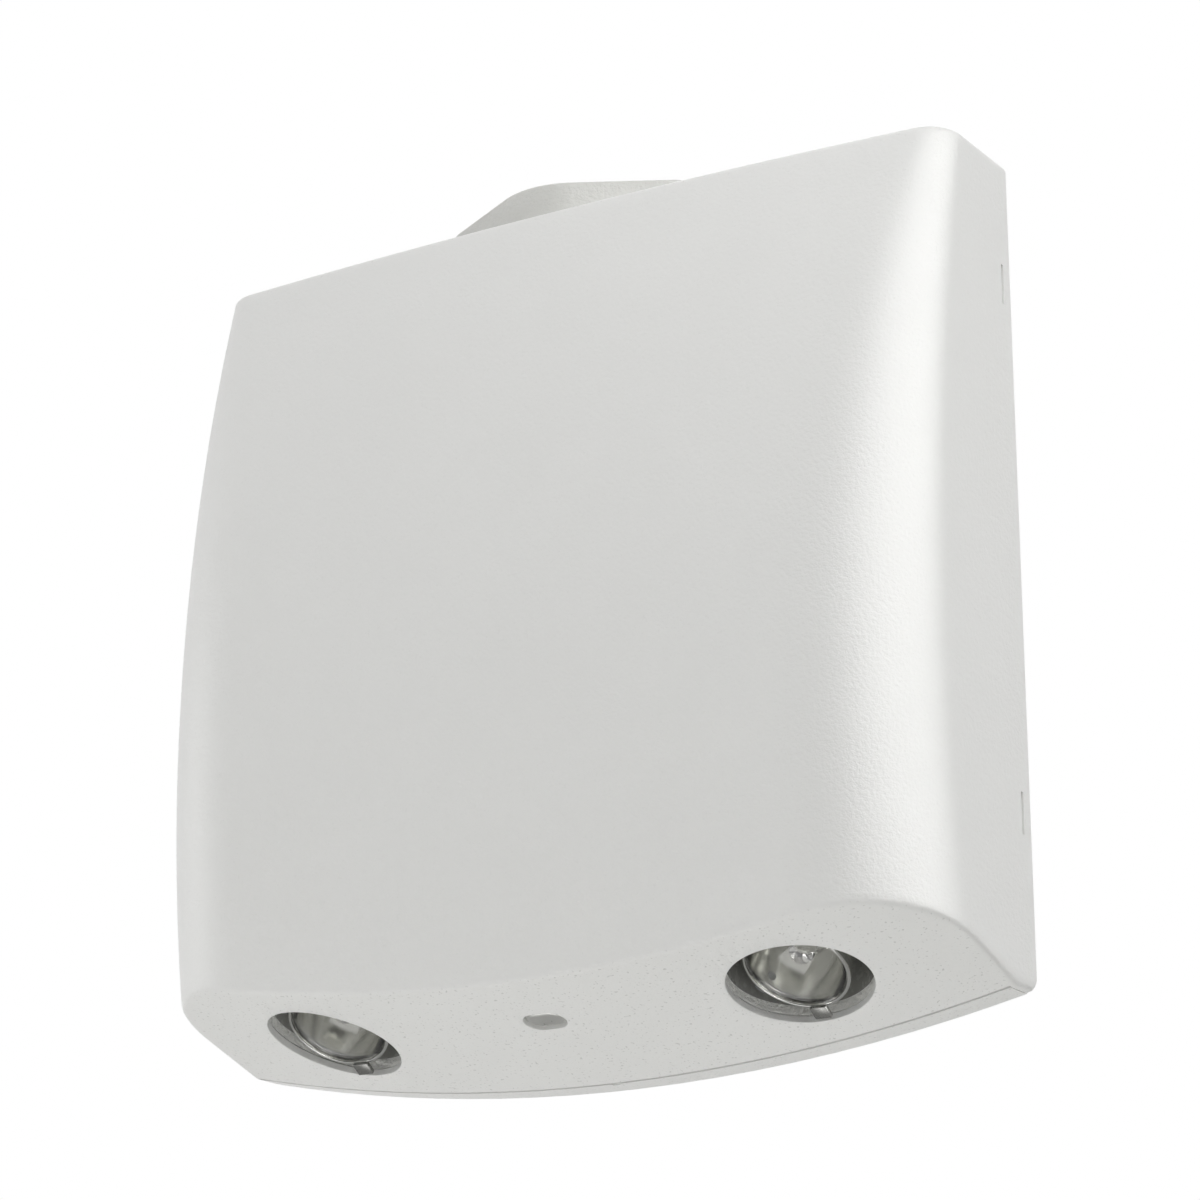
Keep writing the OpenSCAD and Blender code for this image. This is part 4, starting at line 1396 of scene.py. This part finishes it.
@dataclass
class LampHead:
    """An aimable lamp: reflector, glass and bright ring, about its tilting axis.

    Attributes:
        turn: Turn of the ring's tab.
        mouth: Height of the reflector's mouth, below the axis.
    """

    turn: float
    rim: float = 18 * MM
    ring_wall: float = 0.7 * MM
    mouth: float = -3.2 * MM
    seat: float = 2.2 * MM
    lip: float = 0.8 * MM
    lip_width: float = 1.1 * MM
    lip_round: float = 0.3 * MM
    rim_round: float = 0.6 * MM
    play: float = 0.05 * MM
    tab: Spot = (4 * MM, 3 * MM, 1.2 * MM)
    tab_round: float = 0.35 * MM
    dome: float = 4.5 * MM
    glass: float = 1.8 * MM
    bowl: float = 20 * MM
    neck_radius: float = 7.5 * MM
    neck: float = 4.5 * MM
    shell: float = 1.2 * MM
    boss: float = 3 * MM
    boss_out: float = 19.1 * MM
    pin: float = 1.5 * MM
    pin_cut: Point = (13.7 * MM, 20.1 * MM)

    def bowl_line(self, neck: float, depth: float, steps: int = 24) -> list[Point]:
        """Draws one side of the reflector from its mouth to its neck.

        Args:
            neck: The neck's radius.
            depth: The bowl's depth.
            steps: Number of chords.

        Returns:
            The line's points.
        """
        reach = self.rim - self.ring_wall - self.play - self.neck_radius
        turns = [QUARTER * i / steps for i in range(steps + 1)]
        return [(neck + reach * math.cos(t), self.mouth + depth * math.sin(t)) for t in turns]

    def reflector(self) -> Workpiece:
        """Builds the metallised reflector with its pivot bosses.

        Returns:
            The finished reflector.
        """
        end, bore = self.mouth + self.bowl + self.neck, self.neck_radius - self.shell
        inner = self.bowl_line(bore, self.bowl - self.shell)
        profile = self.bowl_line(self.neck_radius, self.bowl) + [(self.neck_radius, end), (bore, end)]
        shell = Workpiece.lathe("reflector", profile + inner[::-1])
        start = self.rim - self.ring_wall - self.shell / 2
        for aside in (Matrix.Rotation(sign * QUARTER, 4, "Y") for sign in SIGNS):
            stud = Workpiece.cylinder("boss", self.boss, start, self.boss_out)
            shell.combine(stud.carry(aside), Cut.ADD)
            hole = Workpiece.cylinder("hole", self.pin, *self.pin_cut, facets=32)
            shell.combine(hole.carry(aside), Cut.TAKE_AWAY)
        return shell.smooth()

    def ring(self) -> Workpiece:
        """Builds the bright ring that holds the glass, with its tab.

        Returns:
            The finished ring.
        """
        front, lip, outer = self.mouth - self.seat - self.lip, self.rim - self.lip_width, self.rim_round
        inside = self.rim - self.ring_wall
        profile = [(inside, self.mouth), (inside, front + self.lip), (lip, front + self.lip)]
        profile += arc((lip + self.lip_round, front + self.lip_round), self.lip_round, 180, 270, 4)
        profile += arc((self.rim - outer, front + outer), outer, 270, 360, 6) + [(self.rim, self.mouth)]
        ring = Workpiece.lathe("lens_ring", profile)
        out, half, down = self.tab
        high = (self.rim + out, half, front + self.lip / 2)
        tab = Workpiece.block("tab", (lip, -half, front - down), high)
        tab.finish_with(
            "BEVEL", width=self.tab_round, segments=2, limit_method="ANGLE", angle_limit=math.radians(35)
        )
        ring.combine(tab.carry(Matrix.Rotation(QUARTER + self.turn, 4, "Z")), Cut.ADD)

        def on_tab(middle: Vector) -> bool:
            """Tells whether a place lies on the tab."""
            return math.hypot(middle.x, middle.y) > self.rim + self.play or middle.z < front - self.play

        return ring.paint(1, on_tab).smooth()

    def lens(self, steps: int = 20) -> Workpiece:
        """Builds the domed glass.

        Args:
            steps: Chords of each side.

        Returns:
            The finished glass.
        """
        back, front = self.mouth, self.mouth - self.seat
        reach = self.rim - self.lip_width - self.ring_wall / 2
        ball = (reach**2 + self.dome**2) / (2 * self.dome)
        centre, inner = front - self.dome + ball, ball - self.glass
        outer_end = math.degrees(math.asin(reach / ball))
        inner_end = math.degrees(math.acos((centre - back) / inner))
        edge = self.rim - self.ring_wall - self.play
        profile = arc((0.0, centre), ball, -90, outer_end - 90, steps) + [(edge, front), (edge, back)]
        profile += arc((0.0, centre), inner, inner_end - 90, -90, steps)
        return Workpiece.lathe("lamp_lens", profile).smooth()


@dataclass
class LampPair:
    """Both lamps with their cups, turned and tilted as photographed."""

    cover: HousingCover
    pivot_in: float = 11.2 * MM
    turn: float = math.radians(27)
    tilt: float = math.radians(18)

    def build(self, finishes: Materials) -> None:
        """Builds the right lamp and its mirror image, and hands every piece over.

        Args:
            finishes: The materials by name.
        """
        under = self.cover.under
        opening = under.frame_at(self.cover.lamp_x, self.cover.lamp_depth)
        aimed = opening @ Matrix.Rotation(-self.turn, 4, "Z")
        aimed = aimed @ Matrix.Translation((0, 0, self.pivot_in)) @ Matrix.Rotation(-self.tilt, 4, "X")
        head = LampHead(self.turn)
        cup = LampCup(under, self.cover.lamp_hole).build().carry(opening)
        shell, ring, lens = (piece.carry(aimed) for piece in (head.reflector(), head.ring(), head.lens()))
        made = {
            # The cup's collar is painted whiter as painted light, and its deep part grey as painted shade.
            "lamp_cup": (cup, ("collar", "cup_deep_painted_shade"), "housing", "white_plastic"),
            "lamp_shell": (shell, ("reflector",), "{}_head", "reflector_chrome"),
            "lens_ring": (ring, ("chrome", "satin_chrome"), "{}_head", "reflector_chrome"),
            "lamp_lens": (lens, ("lamp_glass",), "{}_head", "clear_glass"),
        }
        for node, (piece, worn, rides, slot) in made.items():
            twin = piece.twin(f"left_{node}_piece").carry(MIRROR)
            piece.body.name = f"right_{node}_piece"
            dress = [finishes[name] for name in worn]
            for side, thing in ((Side.RIGHT, piece), (Side.LEFT, twin)):
                thing.hand_over(dress, rides.format(side.value), slot, [f"{side.value}_{node}"])


@dataclass
class TestButton:
    """The domed cap of the charge and test button, with its flange and stem."""

    cover: HousingCover
    length: float = 15 * MM
    width: float = 10 * MM
    recess: float = 0.8 * MM
    dome: float = 2.1 * MM
    flange_in: float = 2.8 * MM
    flange: float = 1.5 * MM
    overlap: float = 0.2 * MM
    stem: float = 2.2 * MM
    stem_in: float = 3.8 * MM
    stem_end: float = 10.9 * MM
    corners: int = 64

    def build(self) -> Workpiece:
        """Builds the button in place.

        Returns:
            The finished button.
        """
        outline = round_ended(self.length, self.width, self.corners)
        cap = Workpiece.prism("bar", outline, self.recess, self.flange_in + self.overlap)
        cap.body.name = "test_button_cap"

        def outer(edge: bpy.types.MeshEdge) -> bool:
            """Tells whether an edge lies round the outer face."""
            return max(cap.body.data.vertices[v].co.z for v in edge.vertices) < self.recess + NEAR

        cap.bevel(self.dome, 8, outer)
        outline = round_ended(self.length, self.width, self.corners, self.flange)
        cap.combine(Workpiece.prism("bar", outline, self.flange_in, self.flange_in + self.flange), Cut.ADD)
        cap.combine(Workpiece.cylinder("stem", self.stem, self.stem_in, self.stem_end), Cut.ADD)
        return cap.carry(self.cover.under.frame_at(0.0, self.cover.button_depth)).smooth()


# ---------------------------------------------------------------- the studio


@dataclass(frozen=True)
class SoftLamp:
    """A square soft lamp that looks at the object.

    Attributes:
        name: The lamp's name.
        place: Where it hangs.
        size: Its side.
        watts: Its power.
        aim: Where it looks.
    """

    name: str
    place: Spot
    size: float
    watts: float
    aim: Spot = (0, -0.04, -0.04)

    def hang(self) -> None:
        """Hangs the lamp."""
        lamp = bpy.data.lights.new(self.name, "AREA")
        lamp.size = self.size
        lamp.energy = self.watts
        holder = bpy.data.objects.new(self.name, lamp)
        holder.location = self.place
        holder.rotation_euler = (Vector(self.aim) - Vector(self.place)).to_track_quat("-Z", "Y").to_euler()
        bpy.context.scene.collection.objects.link(holder)


@dataclass
class Studio:
    """A pale floor far below, soft lamps and the camera at the photograph's angle.

    Attributes:
        dark_side: Where the room is dimmest.
        room_fade: How far a way lies towards there, from bright to dim.
        mirrored_fade: The same for what polished things mirror, with both tones.
        window_side: Where polished things mirror a bright window.
        window_edge: How far a way lies towards it, from its edge to full.
    """

    floor: FloorPaint = FloorPaint("matt_floor_paint", "F2F2F0", "ECECEA", "BCBCBA")
    floor_z: float = -1.6
    floor_size: float = 14.0
    dark_side: Spot = (0.25, -0.93, -0.27)
    room_bright: float = 0.55
    room_dim: float = 0.20
    room_fade: Point = (-0.1, 0.9)
    mirrored_fade: tuple[float, ...] = (0.25, 0.8, 1.0, 0.05)
    window_side: Spot = (0.97, -0.20, 0.14)
    window_bright: float = 8.6
    window_edge: Point = (0.57, 0.92)
    camera_place: Spot = (0.6601, -1.0952, -0.4289)
    camera_yaw: float = math.radians(31.615)
    camera_pitch: float = math.radians(17.71)
    camera_roll: float = math.radians(-0.2)
    lens_mm: float = 114.34
    sensor_mm: float = 36.0
    clip: Point = (0.01, 100.0)
    lamps: tuple[SoftLamp, ...] = (
        SoftLamp("right_lamp", (0.62, -0.72, 0.64), 0.5, 4.3),
        SoftLamp("top_lamp", (0.5, -0.8, 1.8), 1.0, 4.0),
        SoftLamp("left_lamp", (-1.7, -0.5, 0.2), 0.8, 4.5),
        SoftLamp("low_lamp", (-0.3, -0.35, -1.3), 0.6, 2.0),
        SoftLamp("rear_lamp", (0.0, 1.0, 0.2), 0.6, 2.0),
        SoftLamp("left_panel", (-0.75, -0.8, -0.9), 0.45, 2.2),
        SoftLamp("right_panel", (0.6, -0.45, -1.0), 0.35, 0.7),
    )

    def lay_floor(self) -> None:
        """Lays the floor, which ends in white to the camera and is darker in reflections."""
        Workpiece.clear()
        bpy.ops.mesh.primitive_plane_add(size=self.floor_size, location=(0, 0, self.floor_z))
        floor = Workpiece("studio_floor").settle()
        floor.body.data.materials.append(self.floor.material())

    def fill_world(self) -> None:
        """Sets the room's light, the window that polish shows, and white to the camera."""
        world = bpy.data.worlds.new("studio")
        bpy.context.scene.world = world
        world.use_nodes = True
        tree = world.node_tree
        tree.nodes.clear()
        add = partial(add_node, tree)
        ray = add("LightPath").outputs
        looks = add("TexCoord").outputs["Generated"]
        dark, bright = (
            add("VectorMath", {1: side}, {0: looks}, operation="DOT_PRODUCT").outputs["Value"]
            for side in (self.dark_side, self.window_side)
        )
        tones = ends(*self.room_fade, self.room_bright, self.room_dim)
        room = add("MapRange", tones, {"Value": dark})
        soft = {"interpolation_type": "SMOOTHSTEP"}
        mirrored = add("MapRange", ends(*self.mirrored_fade), {"Value": dark}, **soft)
        pane = ends(*self.window_edge, 0.0, self.window_bright)
        window = add("MapRange", pane, {"Value": bright}, **soft)
        shine = add("Math", links={0: mirrored, 1: window})
        either = {0: ray["Is Glossy Ray"], 1: ray["Is Transmission Ray"]}
        polish = add("Math", links=either, operation="MAXIMUM")
        lit = add("Mix", links={"Factor": polish, "A": room, "B": shine})
        strength = add("Mix", {"B": 1.0}, {"Factor": ray["Is Camera Ray"], "A": lit})
        white = add("Background", {"Color": linear("FFFFFF")}, {"Strength": strength})
        add("OutputWorld", links={"Surface": white})

    def set_camera(self) -> None:
        """Sets the camera."""
        data = bpy.data.cameras.new("camera")
        data.sensor_width = self.sensor_mm
        data.lens = self.lens_mm
        data.clip_start, data.clip_end = self.clip
        camera = bpy.data.objects.new("camera", data)
        sy, cy = math.sin(self.camera_yaw), math.cos(self.camera_yaw)
        sp, cp = math.sin(self.camera_pitch), math.cos(self.camera_pitch)
        sr, cr = math.sin(self.camera_roll), math.cos(self.camera_roll)
        ahead, right = Vector((-sy * cp, cy * cp, sp)), Vector((cy, sy, 0.0))
        up = right.cross(ahead)
        right, up = cr * right + sr * up, cr * up - sr * right
        turn = Matrix((right, up, -ahead)).transposed()
        camera.matrix_world = Matrix.Translation(self.camera_place) @ turn.to_4x4()
        bpy.context.scene.collection.objects.link(camera)
        bpy.context.scene.camera = camera

    def build(self) -> None:
        """Builds the whole studio."""
        self.lay_floor()
        self.fill_world()
        for lamp in self.lamps:
            lamp.hang()
        self.set_camera()
        bpy.context.scene.view_settings.view_transform = "Standard"


# ---------------------------------------------------------------- dressing


def make_finishes() -> Materials:
    """Builds every finish once.

    Returns:
        The materials by name.
    """
    kinds: dict[str, Finish] = {
        # Polycarbonate from a spark eroded tool: satin white, with a fine orange
        # peel that shows where light rakes over it, and painted shade in its pits on the faces that look up
        # or down.
        "housing": MouldedPlastic(
            "white_moulded_polycarbonate", "EDEDEB", "A8A8A4", 0.4, 1.3 * MM, 0.3 * MM, 0.42, 0.02
        ),
        # The same resin with a coarser stipple: the collar of each recess. Its colour is
        # painted whiter than the cover as painted light that lifts the recess's shade, and its pits take
        # painted shade.
        "collar": MouldedPlastic(
            "stippled_polycarbonate", "FCFCF8", "C8C8C4", 0.42, 1.7 * MM, 1.4 * MM, 0.4, 0.2
        ),
        # The conduit box, moulded apart with a coarser grain and more matt than the cover; its greyer
        # colour is painted shade that falls on it, and its pits take painted shade too.
        "box": MouldedPlastic(
            "coarse_moulded_polycarbonate_painted_shade", "DADAD6", "A4A4A0", 0.5, 1.3 * MM, 0.5 * MM, 0.3, 0.1
        ),
        # The same resin, polished, and painted grey as the shade deep inside the recess.
        "cup_deep_painted_shade": MouldedPlastic(
            "polished_polycarbonate_painted_shade", "A6A6A2", "84847F", 0.26, 3 * MM, 0.01 * MM
        ),
        # Bright nickel and chrome plate over steel: a clear mirror.
        "chrome": WorkedMetal("chrome_plated_steel", "D2D2CF", "A8A8A5", 0.07),
        # The same plate over a pressed tab, darker and more matt than the ring.
        "satin_chrome": WorkedMetal("satin_plated_steel", "9A9A97", "7E7E7B", 0.3),
        # Aluminium vapour over moulded plastic: a soft mirror.
        "reflector": WorkedMetal("metallised_reflector", "F2F2EE", "DCDCD8", 0.13, 3 * MM, 0.01 * MM),
        # Zinc plate over cold rolled steel: dull silver with drawn lines.
        "zinc": WorkedMetal("zinc_plated_steel", "B4B6B8", "8E8F8C", 0.34, 0.5 * MM, 0.01 * MM, 0.4),
        # Turned brass: warm, with fine lathe lines.
        "brass": WorkedMetal("turned_brass", "CDA85C", "8C6E38", 0.25, 0.3 * MM, 0.005 * MM, 0.3),
        # Black anodised extrusion: dark grey, with long die lines.
        "anodised": WorkedMetal(
            "black_anodised_aluminium", "3A3A3E", "2A2A2C", 0.4, 0.5 * MM, 0.01 * MM, 0.3
        ),
        # Pressed soda glass: clear, slightly rippled.
        "lamp_glass": ClearSolid("pressed_soda_glass", "FAFAF9", 1.5, 0.02),
        # Fused quartz capsule: clear and smooth.
        "quartz": ClearSolid("fused_quartz", "F6F6F4", 1.46, 0.03, 3 * MM, 0.01 * MM),
        # Acrylic cap metallised thinly from behind: an even, soft grey sheen.
        "acrylic": WorkedMetal("metallised_acrylic", "ECECE9", "CCCCC8", 0.32, 3 * MM, 0.01 * MM),
        # Tinted epoxy of an indicator diode.
        "epoxy": ClearSolid("red_tinted_epoxy", "C8302A", 1.53, 0.08, 2 * MM, 0.01 * MM),
        # Glass filled nylon: black, slightly rough.
        "nylon": MouldedPlastic("black_glass_filled_nylon", "26262A", "18181A", 0.45, 0.8 * MM, 0.03 * MM),
        # Green polyamide of a terminal block: satin, evenly moulded.
        "terminal": MouldedPlastic("green_polyamide", "2F7A4A", "225C38", 0.4, 0.7 * MM, 0.02 * MM),
        # Steatite: chalky white, with faint painted shade in the pits of its level faces.
        "steatite": MouldedPlastic("steatite_ceramic", "EDE8DC", "CFC8B8", 0.7, 0.5 * MM, 0.03 * MM, 0.2),
        # Glass fibre laminate under solder mask: green, tracks paler.
        "board": PrintedBoard("green_solder_mask", "1C5A38", "2F7A50"),
        # Silicon steel laminations, 0.5 mm in truth and drawn thicker so that they show.
        "core": LayeredStack("varnished_silicon_steel", "5A5A5E", "303034", 0.8 * MM, 0.7, 0.45),
        # Polyester tape over the winding: glossy yellow, its laps a little darker.
        "tape": LayeredStack("yellow_polyester_tape", "D8C060", "B89C40", 2.5 * MM, 0.0, 0.3),
        # Shrunk sleeve of a capacitor: glossy dark blue.
        "sleeve": MouldedPlastic("shrunk_pvc_sleeve", "2A3050", "1E2238", 0.3, 1.5 * MM, 0.02 * MM),
        # Polyester case of a relay: satin blue.
        "relay": MouldedPlastic("blue_polyester_case", "2A4E8C", "1F3C6E", 0.35, 0.7 * MM, 0.02 * MM),
        # Battery case of moulded acrylonitrile: dark grey, finely grained, with faint painted shade in the
        # pits of its level faces.
        "battery": MouldedPlastic("grey_moulded_abs", "3C3C40", "2C2C30", 0.4, 0.9 * MM, 0.04 * MM, 0.1),
    }
    return {name: kind.material() for name, kind in kinds.items()}


NODES_BY_FINISH: dict[str, str] = {
    "housing": "back_plate",
    "zinc": "conduit_box_screws cup_screws indicator_screws charger_screws strap_screws battery_strap"
    " left_lamp_yoke right_lamp_yoke left_pivot_pins right_pivot_pins",
    "brass": "left_swivel_pin right_swivel_pin battery_terminals",
    "quartz": "left_lamp_capsule right_lamp_capsule",
    "steatite": "left_lamp_socket right_lamp_socket",
    "nylon": "switch_plunger test_switch power_transistor",
    "epoxy": "charge_led",
    "board": "charger_board indicator_board",
    "terminal": "supply_terminals",
    "core": "transformer_core",
    "tape": "transformer_coil",
    "sleeve": "capacitors",
    "relay": "transfer_relay",
    "anodised": "heat_sink",
    "battery": "battery_case",
}


def dress_solids(finishes: Materials) -> None:
    """Gives each solid that stays in view its finish.

    Args:
        finishes: The materials by name.
    """
    for finish, nodes in NODES_BY_FINISH.items():
        for node in nodes.split():
            mesh = frame["nodes"][node].data
            mesh.materials.clear()
            mesh.materials.append(finishes[finish])
            log.info("%s: dressed in %s", node, finish)


def main() -> None:
    """Builds the dressed object and its studio."""
    logging.basicConfig(level=logging.INFO, format="%(name)s: %(message)s")
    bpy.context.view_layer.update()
    finishes = make_finishes()
    dress_solids(finishes)
    cover, conduit = HousingCover(Underside()), ConduitBox()
    shell = cover.build(conduit.outline(-0.4 * MM, -2 * MM))
    shell.hand_over([finishes["housing"]], "housing", "white_plastic", ["front_cover"])
    conduit.build().hand_over([finishes["box"]], "housing", "white_plastic", ["conduit_box"])
    LampPair(cover).build(finishes)
    TestButton(cover).build().hand_over([finishes["acrylic"]], "button", "clear_plastic", ["test_button"])
    Studio().build()


if __name__ == "__main__":
    main()
